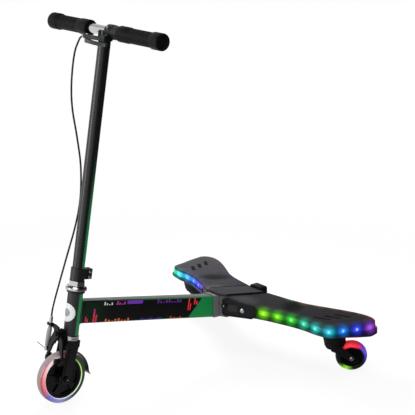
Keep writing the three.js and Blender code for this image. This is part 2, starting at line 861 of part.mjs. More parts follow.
// Stem, collar clamp and handlebar
function buildStem(steering) {
  const tube = ring(stemRadius, stemRadius - stemWall, stemBottom, barHeight, mediumSides);
  const barRoom = alongY(rod(barRadius + seatGap, -collarRadius, collarRadius, mediumSides))
    .translate(0, 0, barHeight);
  const above = block([-collarRadius, -collarRadius, barHeight],
    [collarRadius, collarRadius, barHeight + barRadius]);
  addMesh(steering, 'stem_tube', cut(tube, barRoom, above), 'blackPaint');
}

function buildCollar(steering) {
  const bottom = stemBottom + seatGap;
  const top = bottom + collarHeight;
  const band = rod(collarRadius, bottom, top, mediumSides);
  const ears = block([-earReach, -earThickness, bottom + overrun], [0, earThickness, top - overrun]);
  const bore = rod(stemRadius + seatGap, bottom - overrun, top + overrun, mediumSides);
  const slot = block([-earReach - overrun, -collarSlot / 2, bottom - overrun],
    [0, collarSlot / 2, top + overrun]);
  const boltForward = collarBoltInset - earReach;
  const boltRise = collarHeight * collarBoltSpacingShare / 2;
  const boltPlaces = [['lower', (bottom + top) / 2 - boltRise], ['upper', (bottom + top) / 2 + boltRise]];
  const holes = boltPlaces.map(([, z]) => alongY(rod(collarBoltRadius + boltClearance,
    -earThickness - overrun, earThickness + overrun, smallSides)).translate(boltForward, 0, z));
  addMesh(steering, 'collar_clamp', cut(join(band, ears), bore, slot, ...holes), 'blackPaint');
  const seat = earThickness + seatGap;
  const profile = [[0, -earThickness], [collarBoltRadius, -earThickness], [collarBoltRadius, seat],
    ...headProfile(collarBoltHeadRadius, seat, collarBoltHeadHeight)];
  for (const [place, z] of boltPlaces) {
    const bolt = alongY(turned(profile, smallSides)).translate(boltForward, 0, z);
    addMesh(steering, `collar_bolt_${place}`, bolt, 'steel');
  }
}

function gripProfile() {
  const bore = barRadius + seatGap;
  const length = gripOuterEnd - gripInnerEnd;
  const innerStep = gripInnerShoulder;
  const outerStep = length - gripOuterShoulder;
  return [[bore, 0], [gripInnerShoulderRadius - gripEdge, 0], [gripInnerShoulderRadius, gripEdge],
    [gripInnerShoulderRadius, innerStep - gripStepLength], [gripBodyRadius, innerStep],
    [gripBodyRadius, outerStep - gripStepLength], [gripOuterShoulderRadius, outerStep],
    [gripOuterShoulderRadius, length - gripEdge], [gripOuterShoulderRadius - gripEdge, length],
    [gripRecessRadius, length], [gripRecessRadius, length - gripRecessDepth], [0, length - gripRecessDepth],
    [0, length - gripEndWall], [bore, length - gripEndWall]];
}

function buildHandlebar(steering) {
  const bars = group(steering, 0, 0, barHeight);
  const half = gripOuterEnd - gripEndWall - seatGap;
  addMesh(bars, 'handlebar', alongY(rod(barRadius, -half, half, mediumSides)), 'chrome');
  for (const [label, side] of bothSides) {
    const grip = alongY(turned(gripProfile(), mediumSides)).translate(0, gripInnerEnd, 0);
    if (side < 0) grip.rotateZ(Math.PI);
    addMesh(bars, `grip_${label}`, grip, 'rubber');
  }
  return bars;
}

// Brake lever: a bracket clamped beside the left grip, its blade, pivot pin and cable barrel
function buildLeverBracket(bars) {
  const clampEnd = leverClampStart + leverClampLength;
  const armBottom = leverArmTop - leverArmThickness;
  const clamp = alongY(rod(leverClampRadius, leverClampStart, clampEnd, mediumSides));
  const sleeve = alongY(rod(leverSleeveRadius, clampEnd - overrun, gripInnerEnd - seatGap, mediumSides));
  const knuckle = block([leverClampRadius * knuckleRearShare, leverClampStart, armBottom + overrun],
    [knuckleForward, clampEnd, armBottom + knuckleDepth]);
  const arm = ribbonOutline([[knuckleForward - leverArmWidth / 2, clampEnd - leverArmWidth / 2],
    [leverPivotForward, leverPivotAlong], [leverPivotForward, leverPivotAlong - leverTailLength]],
  [leverArmWidth, leverArmWidth, leverArmWidth], fineSteps);
  const armPlate = drawn(arm, armBottom, leverArmTop);
  const post = rod(postRadius, leverArmTop - overrun, leverArmTop + postHeight, smallSides)
    .translate(postForward, postAlong, 0);
  const barRoom = alongY(rod(barRadius + seatGap, leverClampStart - overrun, gripInnerEnd, mediumSides));
  const pinRoom = rod(leverPinRadius + seatGap, armBottom - overrun, leverArmTop + overrun, smallSides)
    .translate(leverPivotForward, leverPivotAlong, 0);
  addMesh(bars, 'lever_bracket', cut(join(clamp, sleeve, knuckle, armPlate, post), barRoom, pinRoom), 'cast');
}

function buildLeverBlade(bars) {
  const armBottom = leverArmTop - leverArmThickness;
  const blade = group(bars, leverPivotForward, leverPivotAlong, armBottom - seatGap);
  blade.name = 'brake_lever_axis';
  const reachForward = leverTipForward - leverPivotForward;
  const reachAlong = leverTipAlong - leverPivotAlong;
  const middle = [];
  const widths = [];
  for (let i = 0; i <= leverBladeSteps; i += 1) {
    const share = i / leverBladeSteps;
    const bulge = leverBladeBulgeShare * reachAlong * Math.sin(Math.PI * share);
    middle.push([reachForward * share + bulge, reachAlong * share]);
    widths.push(leverBladeWidth + (leverBladeTipWidth - leverBladeWidth) * share);
  }
  const body = drawn(ribbonOutline(middle, widths, fineSteps), -leverBladeThickness, 0);
  const pinRoom = rod(leverPinRadius + seatGap, -leverBladeThickness - overrun, overrun, smallSides);
  addMesh(blade, 'lever_blade', cut(body, pinRoom), 'cast');
}

function buildLeverPin(bars) {
  const top = leverArmTop + seatGap;
  const bottom = leverArmTop - leverArmThickness - 2 * seatGap - leverBladeThickness;
  const pin = turned([[0, bottom - leverPinHeadHeight], [leverPinHeadRadius, bottom - leverPinHeadHeight],
    [leverPinHeadRadius, bottom], [leverPinRadius, bottom], [leverPinRadius, top],
    [leverPinHeadRadius, top], [leverPinHeadRadius, top + leverPinHeadHeight], [0, top + leverPinHeadHeight]],
  smallSides).translate(leverPivotForward, leverPivotAlong, 0);
  addMesh(bars, 'lever_pin', pin, 'steel');
}

function leverTailEnd() {
  return leverPivotAlong - leverTailLength - leverArmWidth / 2;
}

function buildLeverBarrel(bars) {
  const start = leverTailEnd() - seatGap;
  const neck = barrelRadius * leverBarrelNeckShare;
  const barrel = turned([[0, 0], [barrelRadius, 0], [barrelRadius, leverBarrelLength * leverBarrelBodyShare],
    [neck, leverBarrelLength * leverBarrelTaperShare], [neck, leverBarrelLength], [0, leverBarrelLength]],
  smallSides);
  const place = [leverPivotForward, start, leverArmTop - leverArmThickness / 2];
  addMesh(bars, 'lever_barrel', alongY(barrel).rotateZ(Math.PI).translate(...place), 'chrome');
}

// Brake cable, from the lever barrel round the front of the stem down to the caliper
function cableRoute() {
  const start = [leverPivotForward, leverTailEnd() - leverBarrelLength - 2 * seatGap,
    barHeight + leverArmTop - leverArmThickness / 2];
  const end = [caliperPlanes().cable, -cableSide, caliperHeight + cableStopRise + armBarrelLength + seatGap];
  const height = start[2] - end[2];
  return [
    start,
    [start[0], start[1] - cableLeadIn, start[2] - cableLeadInDrop],
    ...cablePlaces.map(([forward, along, share]) => [forward, along, end[2] + share * height]),
    [end[0], end[1], end[2] + cableLeadOut],
    end,
  ];
}

function buildCable(steering) {
  const points = cableRoute().map((place) => new THREE.Vector3(...place));
  const route = new THREE.CatmullRomCurve3(points, false, 'centripetal');
  const section = arcPoints(0, 0, cableRadius, 0, 2 * Math.PI * (1 - 1 / cordSides), cordSides - 1);
  const shape = new THREE.Shape(section.map(([x, y]) => new THREE.Vector2(x, y)));
  const options = { steps: cableSteps, extrudePath: route, bevelEnabled: false };
  addMesh(steering, 'brake_cable', new THREE.ExtrudeGeometry(shape, options), 'rubber');
}

// Caliper: two arms on one bolt, each carrying a pad beside the front tyre
function caliperPlanes() {
  const innerLow = lugFront + seatGap + caliperSpacer + seatGap;
  const innerHigh = innerLow + caliperArmThickness;
  const outerLow = innerHigh + seatGap;
  const outerHigh = outerLow + caliperArmThickness;
  const cable = outerHigh + cableAhead;
  return { innerLow, innerHigh, outerLow, outerHigh, cable, middle: (innerLow + outerHigh) / 2 };
}

function buildCaliperBolt(steering) {
  const planes = caliperPlanes();
  const spacerStart = lugFront + seatGap;
  const capStart = planes.outerHigh + seatGap;
  const bolt = turned([[0, lugFront - lugThickness], [caliperBoltRadius, lugFront - lugThickness],
    [caliperBoltRadius, spacerStart], [caliperSpacerRadius, spacerStart],
    [caliperSpacerRadius, spacerStart + caliperSpacer], [caliperBoltRadius, spacerStart + caliperSpacer],
    [caliperBoltRadius, capStart], [caliperCapRadius, capStart],
    [caliperCapRadius * caliperCapEdgeShare, capStart + caliperCapHeight * caliperCapFlankShare],
    [caliperCapRadius * caliperCapTopShare, capStart + caliperCapHeight],
    [0, capStart + caliperCapHeight]], mediumSides);
  addMesh(steering, 'caliper_bolt', alongX(bolt).translate(0, 0, caliperHeight), 'chrome');
}

// The lug of an arm that carries its pad stud, and the arm outline down to it
function padLug(side) {
  const planes = caliperPlanes();
  const inner = padFace() + padThickness + seatGap;
  const outer = inner + padLugWidth;
  const [low, high] = side > 0 ? [inner, outer] : [-outer, -inner];
  const lug = block([planes.middle - padLugDepth / 2, low, -padDrop - padLugHeight / 2],
    [planes.middle + padLugDepth / 2, high, -padDrop + padLugHeight / 2]);
  const hole = alongY(rod(padStudRadius + seatGap, -outer - overrun, outer + overrun, smallSides))
    .translate(planes.middle, 0, -padDrop);
  return { lug, hole, middle: (inner + outer) / 2 };
}

function padFace() {
  return wheelWidth / 2 + padGap;
}

function armWithBoss(outline, low, high) {
  const boss = arcPoints(0, 0, caliperBossRadius, 0, 2 * Math.PI * (1 - 1 / smallSides), smallSides - 1);
  return join(drawnForward(outline, low, high), drawnForward(boss, low, high));
}

function boltRoom(low, high) {
  return alongX(rod(caliperBoltRadius + seatGap, low - overrun, high + overrun, smallSides));
}

// An arm's outline, from shares of the side and the rise of its far end
function armOutline(pathShares, widthShares, side, rise) {
  const middle = pathShares.map(([sideShare, riseShare]) => [side * sideShare, rise * riseShare]);
  return ribbonOutline(middle, widthShares.map((share) => share * caliperArmWidth), cornerSteps);
}

function buildInnerArm(pivot) {
  const { innerLow, innerHigh } = caliperPlanes();
  const { lug, hole, middle } = padLug(1);
  const toPad = armOutline(padArmShares, padArmWidthShares, middle, -padDrop);
  const toAnchor = armOutline(anchorArmShares, anchorArmWidthShares, -anchorSide, -anchorDrop);
  const arm = join(armWithBoss(toPad, innerLow, innerHigh), drawnForward(toAnchor, innerLow, innerHigh), lug);
  const anchorRoom = alongX(rod(anchorRadius + seatGap, innerLow - overrun, innerHigh + overrun, smallSides))
    .translate(0, -anchorSide, -anchorDrop);
  const made = cut(arm, boltRoom(innerLow, innerHigh), anchorRoom, hole);
  addMesh(pivot, 'caliper_arm_inner', made, 'blackPaint');
}

function buildOuterArm(pivot) {
  const { outerLow, outerHigh, cable } = caliperPlanes();
  const { lug, hole, middle } = padLug(-1);
  const toPad = armOutline(padArmShares, padArmWidthShares, -middle, -padDrop);
  const toStop = armOutline(stopArmShares, stopArmWidthShares, -cableSide, cableStopRise);
  const stop = block([outerLow, -cableSide - cableStopWidth / 2, cableStopRise - cableStopHeight],
    [2 * cable - outerLow, cableStopWidth / 2 - cableSide, cableStopRise]);
  const barrelRoom = rod(armBarrelNeck + seatGap, cableStopRise - cableStopHeight - overrun,
    cableStopRise + overrun, smallSides).translate(cable, -cableSide, 0);
  const reach = drawnForward(toStop, outerLow, outerHigh);
  const arm = join(armWithBoss(toPad, outerLow, outerHigh), reach, lug, stop);
  const made = cut(arm, boltRoom(outerLow, outerHigh), barrelRoom, hole);
  addMesh(pivot, 'caliper_arm_outer', made, 'blackPaint');
}

function buildPad(pivot, label, side) {
  const planes = caliperPlanes();
  const inner = padFace();
  const nutSeat = inner + padThickness + padLugWidth + 2 * seatGap;
  const shoe = block([-padLength / 2, inner, -padHeight / 2],
    [padLength / 2, inner + padThickness, padHeight / 2]);
  const stud = alongY(rod(padStudRadius, inner + padThickness - overrun, nutSeat + overrun, smallSides));
  const nut = alongY(drawn(hexagon(flatsAround(padNutRadius)), nutSeat, nutSeat + padNutHeight));
  const pad = join(shoe, stud, nut);
  if (side < 0) pad.rotateZ(Math.PI);
  addMesh(pivot, `brake_pad_${label}`, pad.translate(planes.middle, 0, -padDrop), 'rubber');
}

function buildBarrel(pivot) {
  const planes = caliperPlanes();
  const low = cableStopRise - cableStopHeight;
  const neckTop = cableStopRise + seatGap;
  const top = cableStopRise + armBarrelLength;
  const barrel = turned([[0, low], [armBarrelNeck, low], [armBarrelNeck, neckTop], [barrelRadius, neckTop],
    [barrelRadius, top - barrelRadius], [barrelRadius * armBarrelTopShare, top], [0, top]], smallSides);
  addMesh(pivot, 'barrel_adjuster', barrel.translate(planes.cable, -cableSide, 0), 'chrome');
}

// The rubber boot between the cable stop and the anchor, widest in its middle
function buildBoot(pivot) {
  const planes = caliperPlanes();
  const top = cableStopRise - cableStopHeight - 3 * seatGap;
  const bottom = anchorHeadRadius + 2 * seatGap - anchorDrop;
  const length = Math.hypot(top - bottom, anchorSide - cableSide);
  const lean = Math.atan2(cableSide - anchorSide, top - bottom);
  const profile = [[0, 0]];
  for (let i = 0; i <= bootSteps; i += 1) {
    const share = i / bootSteps;
    const swell = Math.sin(Math.PI * share ** bootSkew) ** bootFullness;
    profile.push([bootEndRadius + (bootRadius - bootEndRadius) * swell, -length * share]);
  }
  profile.push([0, -length]);
  const boot = turned(profile, mediumSides / 2).rotateX(lean).translate(planes.cable, -cableSide, top);
  addMesh(pivot, 'cable_boot', boot, 'greyRubber');
}

function buildAnchor(pivot) {
  const planes = caliperPlanes();
  const low = planes.innerLow - seatGap;
  const high = planes.innerHigh + seatGap;
  const anchor = turned([[0, low - anchorHeadHeight], [anchorHeadRadius, low - anchorHeadHeight],
    [anchorHeadRadius, low], [anchorRadius, low], [anchorRadius, high], [anchorHeadRadius, high],
    [anchorHeadRadius, high + anchorNutHeight], [0, high + anchorNutHeight]], smallSides);
  addMesh(pivot, 'cable_anchor', alongX(anchor).translate(0, -anchorSide, -anchorDrop), 'steel');
}

function buildCaliper(steering) {
  buildCaliperBolt(steering);
  const inner = group(steering, 0, 0, caliperHeight);
  inner.name = 'caliper_axis';
  const outer = group(steering, 0, 0, caliperHeight);
  buildInnerArm(inner);
  buildAnchor(inner);
  buildPad(inner, 'left', 1);
  buildOuterArm(outer);
  buildBarrel(outer);
  buildBoot(outer);
  buildPad(outer, 'right', -1);
}

// Deck centre
function stripTopAt(along) {
  return stripHeight + Math.tan(stripSlope) * along;
}

function hubBottomAt(along) {
  const share = (hubFront - along) / (hubFront - hubRear);
  return hubBottomFront + (hubBottomRear - hubBottomFront) * share;
}

// A body over an outline of [x, y] points, between a floor and a roof given along X
function slab(outline, floorAt, roofAt) {
  const geometry = drawn(outline, 0, 1);
  const position = geometry.attributes.position;
  for (let i = 0; i < position.count; i += 1) {
    const [x, share] = [position.getX(i), position.getZ(i)];
    position.setZ(i, floorAt(x) + (roofAt(x) - floorAt(x)) * share);
  }
  return geometry;
}

function hubOutline(inset) {
  const neck = beamWidth / 2 + seatGap + hubNeckWall;
  const wide = hubHalfWidth - inset;
  return [[hubFront, -neck], [hubFront, neck], [hubNeckEnd, neck], [hubShoulder, wide], [hubRear, wide],
    [hubRear, -wide], [hubShoulder, -wide], [hubNeckEnd, -neck]];
}

function buildHub(deck) {
  const roofAt = (along) => stripTopAt(along) - stripThickness - seatGap;
  const body = slab(hubOutline(0), hubBottomAt, roofAt);
  const room = slab([[hubShoulder, hubHalfWidth - hubWall], [hubRear + hubWall, hubHalfWidth - hubWall],
    [hubRear + hubWall, hubWall - hubHalfWidth], [hubShoulder, hubWall - hubHalfWidth]],
  (along) => hubBottomAt(along) - overrun, (along) => roofAt(along) - hubWall);
  const [socketWidth, socketHeight] = [beamWidth + 2 * seatGap, beamHeight + 2 * seatGap];
  const socket = beamSolid(socketWidth, socketHeight, beamCorner, 0, beamLength + seatGap)
    .translate(deckDistance, 0, -deckHeight);
  addMesh(deck, 'hub_casting', cut(body, room, socket), 'greyPaint');
}

function buildStrip(deck) {
  const front = roundedRectangle(0, -hubHalfWidth, stripFront, hubHalfWidth, stripCorner, stripCornerSteps);
  const rear = [[hubRear, -hubHalfWidth], [hubRear, hubHalfWidth]];
  const outline = [...front.filter(([x]) => x > stripCorner), ...rear];
  const ordered = outline.sort((a, b) => Math.atan2(a[1], a[0]) - Math.atan2(b[1], b[0]));
  const body = slab(ordered, (along) => stripTopAt(along) - stripThickness, stripTopAt);
  addMesh(deck, 'center_strip', body, 'greyPaint');
}

function tailMiddle() {
  return (tailBottom + tailTop) / 2;
}

function tailBox(inset, rear, front) {
  const [half, corner] = [tailHalfWidth - inset, tailCorner - inset];
  return drawnForward(roundedRectangle(-half, tailBottom + inset, half, tailTop - inset, corner, coarseSteps),
    rear, front);
}

// The lip of the tail box that stands above the centre strip
function tailLip(front) {
  const half = tailHalfWidth - tailWall / 2;
  const low = stripTopAt(hubRear) + seatGap;
  return block([front - tailWall, -half, low], [front, half, tailTop - tailWall / 2]);
}

function buildTail(deck) {
  const front = hubRear - seatGap;
  const rear = front - tailLength;
  const room = tailBox(tailWall, rear + tailWall, front + overrun);
  const hole = alongX(rod(buttonRadius + seatGap, rear - overrun, rear + tailWall + overrun, mediumSides))
    .translate(0, 0, tailMiddle());
  const walls = cut(tailBox(0, rear, front), room, hole);
  addMesh(deck, 'tail_box', join(walls, tailLip(front)), 'blackPlastic');
}

function buildBattery(deck) {
  const floor = tailBottom + tailWall + seatGap;
  const front = hubRear - 2 * seatGap;
  const pack = block([front - batteryLength, -batteryWidth / 2, floor],
    [front, batteryWidth / 2, floor + batteryHeight]);
  addMesh(deck, 'battery_pack', pack, 'battery');
}

function buildButton(deck) {
  const button = group(deck, hubRear - seatGap - tailLength, 0, tailMiddle());
  button.name = 'light_button_axis';
  const flange = tailWall + seatGap;
  const flangeRadius = buttonRadius + buttonFlangeWidth;
  const cap = turned([[0, -buttonProud], [buttonRadius - buttonEdge, -buttonProud],
    [buttonRadius, buttonEdge - buttonProud], [buttonRadius, flange], [flangeRadius, flange],
    [flangeRadius, flange + buttonFlange], [0, flange + buttonFlange]], mediumSides);
  addMesh(button, 'light_button', alongX(cap), 'greyRubber');
}

// Wings: the outline runs from the root along both edges to the tip
function edgeCurve(shares, count) {
  const points = shares.map(([depth, span]) => new THREE.Vector3(wingFront - depth * wingDepth,
    wingRoot + span * wingSpan, 0));
  const curve = new THREE.CatmullRomCurve3(points, false, 'centripetal');
  return curve.getSpacedPoints(count).map((point) => [point.x, point.y]);
}

function wingOutline() {
  return { front: edgeCurve(frontEdgeShares, wingStations), rear: edgeCurve(rearEdgeShares, wingStations) };
}

function spanShare(side) {
  return Math.min(Math.max((side - wingRoot) / wingSpan, 0), 1);
}

// The outline moved outward by distanceAt(side); both root ends stay on the root plane
function offsetOutline(outline, distanceAt) {
  const loop = [...outline.front, ...outline.rear.slice(0, -1).reverse()];
  const count = loop.length;
  const moved = loop.map(([x, y], i) => {
    const next = loop[Math.min(i + 1, count - 1)];
    const last = loop[Math.max(i - 1, 0)];
    const run = Math.hypot(next[0] - last[0], next[1] - last[1]);
    const distance = distanceAt(y);
    const [outX, outY] = [(next[1] - last[1]) / run, -(next[0] - last[0]) / run];
    const atRoot = i === 0 || i === count - 1;
    return [x + outX * distance, atRoot ? y : y + outY * distance];
  });
  const split = outline.front.length;
  return { front: moved.slice(0, split), rear: [...moved.slice(split).reverse(), moved[split - 1]] };
}

function padTopAt(along, side) {
  const pitch = Math.tan(wingPitch) * along;
  const droop = Math.tan(wingDroop) * (side - droopStart);
  const plane = wingHeight + pitch - droop;
  const outward = (side - hubHalfWidth) / (rootRiseEnd - hubHalfWidth);
  const fade = Math.min(Math.max(1 - outward, 0), 1) ** rootRisePower;
  const rise = Math.max(stripTopAt(along) - stripStep - plane, 0);
  return plane + rise * fade;
}

function bandTopAt(along, side) {
  return padTopAt(along, side) - padSkin;
}

function dishAt(along, side) {
  const away = Math.hypot(along - dishCentreAlong, side - dishCentreSide) / dishRadius;
  return away < 1 ? dishDepth * (1 - away * away) ** 2 : 0;
}

function shellBottomAt(along) {
  return shellBottom + Math.tan(shellPitch) * along;
}

function geometryOf(positions, index) {
  const geometry = new THREE.BufferGeometry();
  geometry.setAttribute('position', new THREE.BufferAttribute(new Float32Array(positions), 3));
  geometry.setIndex(index);
  return geometry;
}

// A closed body over the wing outline; floor and roof are called with x, y and the distance to the edge
function loft(outline, floorAt, roofAt) {
  const { front, rear } = outline;
  const last = front.length - 1;
  const columns = acrossShares.length;
  const positions = [];
  const index = [];
  const tip = front[last];
  const addPair = (x, y, edge) => positions.push(x, y, floorAt(x, y, edge), x, y, roofAt(x, y, edge));
  for (let i = 0; i < last; i += 1) {
    const chord = Math.hypot(rear[i][0] - front[i][0], rear[i][1] - front[i][1]);
    for (const share of acrossShares) {
      const x = front[i][0] + (rear[i][0] - front[i][0]) * share;
      const y = front[i][1] + (rear[i][1] - front[i][1]) * share;
      addPair(x, y, Math.min(share, 1 - share) * chord);
    }
  }
  addPair(tip[0], tip[1], 0);
  const low = (i, j) => 2 * (i >= last ? last * columns : i * columns + j);
  const quad = (a, b, c, d) => index.push(a, b, c, a, c, d);
  for (let i = 0; i < last; i += 1) {
    for (let j = 0; j < columns - 1; j += 1) {
      quad(low(i, j), low(i, j + 1), low(i + 1, j + 1), low(i + 1, j));
      quad(low(i, j) + 1, low(i + 1, j) + 1, low(i + 1, j + 1) + 1, low(i, j + 1) + 1);
    }
    quad(low(i, 0), low(i + 1, 0), low(i + 1, 0) + 1, low(i, 0) + 1);
    const [end, nextEnd] = [low(i, columns - 1), low(i + 1, columns - 1)];
    quad(end, end + 1, nextEnd + 1, nextEnd);
  }
  for (let j = 0; j < columns - 1; j += 1) {
    quad(low(0, j), low(0, j) + 1, low(0, j + 1) + 1, low(0, j + 1));
  }
  return geometryOf(positions, index);
}

// An edge without the part nearer the root than start, measured on the wing's own edge
function trimmed(edge, ownEdge, start) {
  const first = ownEdge.findIndex(([, y]) => y >= start);
  const share = (start - ownEdge[first - 1][1]) / (ownEdge[first][1] - ownEdge[first - 1][1]);
  const cutPoint = edge[first - 1].map((value, k) => value + (edge[first][k] - value) * share);
  return [cutPoint, ...edge.slice(first)];
}

// A wall along the wing edge, from the front start round the tip to the rear end
function edgeWall(outer, inner, floorAt, roofAt, frontStart, rearEnd) {
  const pick = (outline) => [
    ...trimmed(outline.front, wingEdges.front, frontStart),
    ...trimmed(outline.rear, wingEdges.rear, rearEnd).reverse().slice(1),
  ];
  const [outside, inside] = [pick(outer), pick(inner)];
  const positions = [];
  const index = [];
  outside.forEach(([x, y], i) => {
    const [innerX, innerY] = inside[i];
    positions.push(x, y, floorAt(x, y), x, y, roofAt(x, y));
    positions.push(innerX, innerY, roofAt(innerX, innerY), innerX, innerY, floorAt(innerX, innerY));
  });
  const quad = (a, b, c, d) => index.push(a, b, c, a, c, d);
  for (let i = 0; i < outside.length - 1; i += 1) {
    for (let k = 0; k < 4; k += 1) {
      const next = (k + 1) % 4;
      quad(4 * i + k, 4 * i + next, 4 * i + 4 + next, 4 * i + 4 + k);
    }
  }
  const end = 4 * (outside.length - 1);
  quad(3, 2, 1, 0);
  quad(end, end + 1, end + 2, end + 3);
  return geometryOf(positions, index);
}

const wingEdges = wingOutline();

function mirrored(geometry, side) {
  return side > 0 ? geometry : geometry.clone().scale(1, -1, 1);
}

function ventTools() {
  const tools = [];
  for (let i = 0; i < ventCount; i += 1) {
    const away = (i - (ventCount - 1) / 2) * ventPitch;
    const along = ventAlong - away * Math.cos(ventRowTurn);
    const side = ventSide + away * Math.sin(ventRowTurn);
    const slot = drawn(slotOutline(ventLength, ventWidth, fineSteps), 0, overrun + ventDepth);
    tools.push(slot.rotateZ(ventTurn).translate(along, side, padTopAt(along, side) - ventDepth));
  }
  return tools;
}

function padBody() {
  const outline = offsetOutline(wingEdges, () => -padInset);
  const roofAt = (x, y, edge) => {
    const drop = padEdgeDrop * (1 - Math.min(edge / padEdgeWidth, 1)) ** 2;
    return padTopAt(x, y) - dishAt(x, y) - drop;
  };
  return cut(loft(outline, (x, y) => bandTopAt(x, y), roofAt), ...ventTools());
}

// The hollow of the shell, closed towards the root
function shellRoom() {
  const inner = offsetOutline(wingEdges, () => -bandThickness - shellWall - seatGap);
  const offRoot = ([x, y]) => [x, Math.max(y, wingRoot + shellWall)];
  const outline = { front: inner.front.map(offRoot), rear: inner.rear.map(offRoot) };
  return loft(outline, (x) => shellBottomAt(x) + shellFloor, (x, y) => bandTopAt(x, y) + overrun);
}

// The ledge that the light band stands on
function bandRoom() {
  const outside = offsetOutline(wingEdges, () => shellFlareTip + 2 * overrun);
  const inside = offsetOutline(wingEdges, () => -bandThickness - seatGap);
  return edgeWall(outside, inside, (x, y) => bandTopAt(x, y) - bandHeight - 2 * seatGap,
    (x, y) => bandTopAt(x, y) + overrun, bandFrontStart - seatGap, bandRearEnd - seatGap);
}

function shellBody() {
  const flare = (side) => shellFlareRoot + (shellFlareTip - shellFlareRoot) * spanShare(side);
  const outer = offsetOutline(wingEdges, flare);
  outer.front[0][1] = hubHalfWidth + seatGap;
  outer.rear[0][1] = hubHalfWidth + seatGap;
  const floorAt = (x, y, edge) => {
    const tipShare = spanShare(y) ** shellTipPower;
    const width = shellEdgeWidth + shellTipWidth * tipShare;
    const rise = shellEdgeRise + shellTipRise * tipShare;
    return shellBottomAt(x) + rise * (1 - Math.min(edge / width, 1)) ** 2;
  };
  const body = loft(outer, floorAt, (x, y) => bandTopAt(x, y) - seatGap);
  return cut(body, shellRoom(), bandRoom(), onRootFace(rootBoltRoom(-overrun, rootBoltLength + overrun)));
}

function bandBody() {
  const inside = offsetOutline(wingEdges, () => -bandThickness);
  return edgeWall(wingEdges, inside, (x, y) => bandTopAt(x, y) - bandHeight - seatGap,
    (x, y) => bandTopAt(x, y) - seatGap, bandFrontStart, bandRearEnd);
}

function buildWing(deck, label, side) {
  addMesh(deck, `wing_shell_${label}`, mirrored(shellBody(), side), 'blackPlastic');
  addMesh(deck, `light_band_${label}`, mirrored(bandBody(), side), 'clearBand');
  addMesh(deck, `deck_pad_${label}`, mirrored(padBody(), side), 'deckPlastic');
}

function rootBoltRoom(low, high) {
  return alongY(rod(rootBoltRadius + boltClearance, low, high, smallSides))
    .translate(rootBoltAlong, 0, rootPlateBase + rootBoltRise);
}

// Root plates stand on the front of each wing root, with a bolt into the shell
function rootPlatePlace() {
  const [from, to] = [wingEdges.front[0], new THREE.Vector2(wingFront - frontEdgeShares[2][0] * wingDepth,
    wingRoot + frontEdgeShares[2][1] * wingSpan)];
  const angle = Math.atan2(to.y - from[1], to.x - from[0]);
  const proud = shellFlareRoot + 3 * seatGap;
  return { angle, x: from[0] + proud * Math.sin(angle), y: from[1] - proud * Math.cos(angle) };
}

function onRootFace(geometry) {
  const { angle, x, y } = rootPlatePlace();
  return geometry.rotateZ(angle).translate(x, y, 0);
}

// A root plate's outline, moved in by inset
function rootPlateOutline(inset) {
  const corner = rootPlateCorner;
  const [start, end] = [corner - rootPlateStart, rootPlateLength - rootPlateStart - corner];
  const low = rootPlateBase + corner;
  const rearTop = rootPlateBase + rootPlateHeightRear - corner;
  const frontTop = rootPlateBase + rootPlateHeightFront - corner;
  return [
    ...arcPoints(start, low, corner - inset, 2 * quarterTurn, 3 * quarterTurn, cornerSteps),
    ...arcPoints(end, low, corner - inset, 3 * quarterTurn, 4 * quarterTurn, cornerSteps),
    ...arcPoints(end, rearTop, corner - inset, 0, quarterTurn, cornerSteps),
    ...arcPoints(start, frontTop, corner - inset, quarterTurn, 2 * quarterTurn, cornerSteps),
  ];
}

function buildRootPlate(deck, label, side) {
  const thick = rootPlateThickness + rootRimHeight;
  const whole = drawnAcross(rootPlateOutline(0), thick, -thick / 2);
  const recess = drawnAcross(rootPlateOutline(rootRimWidth), 2 * rootRimHeight, -thick);
  const plate = cut(whole, recess, rootBoltRoom(-thick - overrun, overrun));
  addMesh(deck, `root_plate_${label}`, mirrored(onRootFace(plate), side), 'blackPlastic');
}

function buildRootBolt(deck, label, side) {
  const seat = rootPlateThickness + seatGap;
  const profile = [[0, seat - rootBoltLength], [rootBoltRadius, seat - rootBoltLength],
    [rootBoltRadius, seat], ...headProfile(rootBoltHeadRadius, seat, rootBoltHeadHeight)];
  const bolt = alongY(turned(profile, smallSides)).rotateZ(Math.PI)
    .translate(rootBoltAlong, 0, rootPlateBase + rootBoltRise);
  addMesh(deck, `root_bolt_${label}`, mirrored(onRootFace(bolt), side), 'steel');
}

// Height of a caster's frame above the ground, with its wheel standing there
function casterStanding() {
  const lean = Math.sin(casterIncline) * Math.sin(casterSwivel);
  const upright = Math.sqrt(1 - lean * lean);
  const profile = tyreProfile(casterRadius, casterHubRadius, casterWidth);
  const reaches = profile.map(([radius, along]) => radius * upright + Math.abs(along) * lean);
  const trail = casterTrail * Math.cos(casterSwivel);
  const drop = casterDrop * Math.cos(casterIncline) - trail * Math.sin(casterIncline);
  return Math.max(...reaches) + drop;
}

function casterFrame(deck, side) {
  const made = group(deck, casterAlong, side * casterSide, casterHeight);
  made.rotation.y = casterIncline;
  return made;
}

// A mount's turned profile, with rings round its foot and a blind bore for the kingpin
function mountProfile() {
  const low = casterForkTop + casterBearingGap;
  const standing = (shellBottom - casterHeight) / Math.cos(casterIncline);
  const height = standing + mountRadius * Math.tan(casterIncline);
  const bore = kingpinRadius + boltClearance;
  const profile = [[bore, low], [mountRadius, low]];
  for (let i = 1; i <= mountRingCount; i += 1) {
    const level = low + i * mountRingPitch;
    profile.push([mountRadius, level - mountRingDepth]);
    profile.push([mountRadius - mountRingDepth, level - mountRingDepth / 2]);
    profile.push([mountRadius, level]);
  }
  const boreTop = low + kingpinLength;
  return [...profile, [mountRadius, height], [0, height], [0, boreTop], [bore, boreTop]];
}

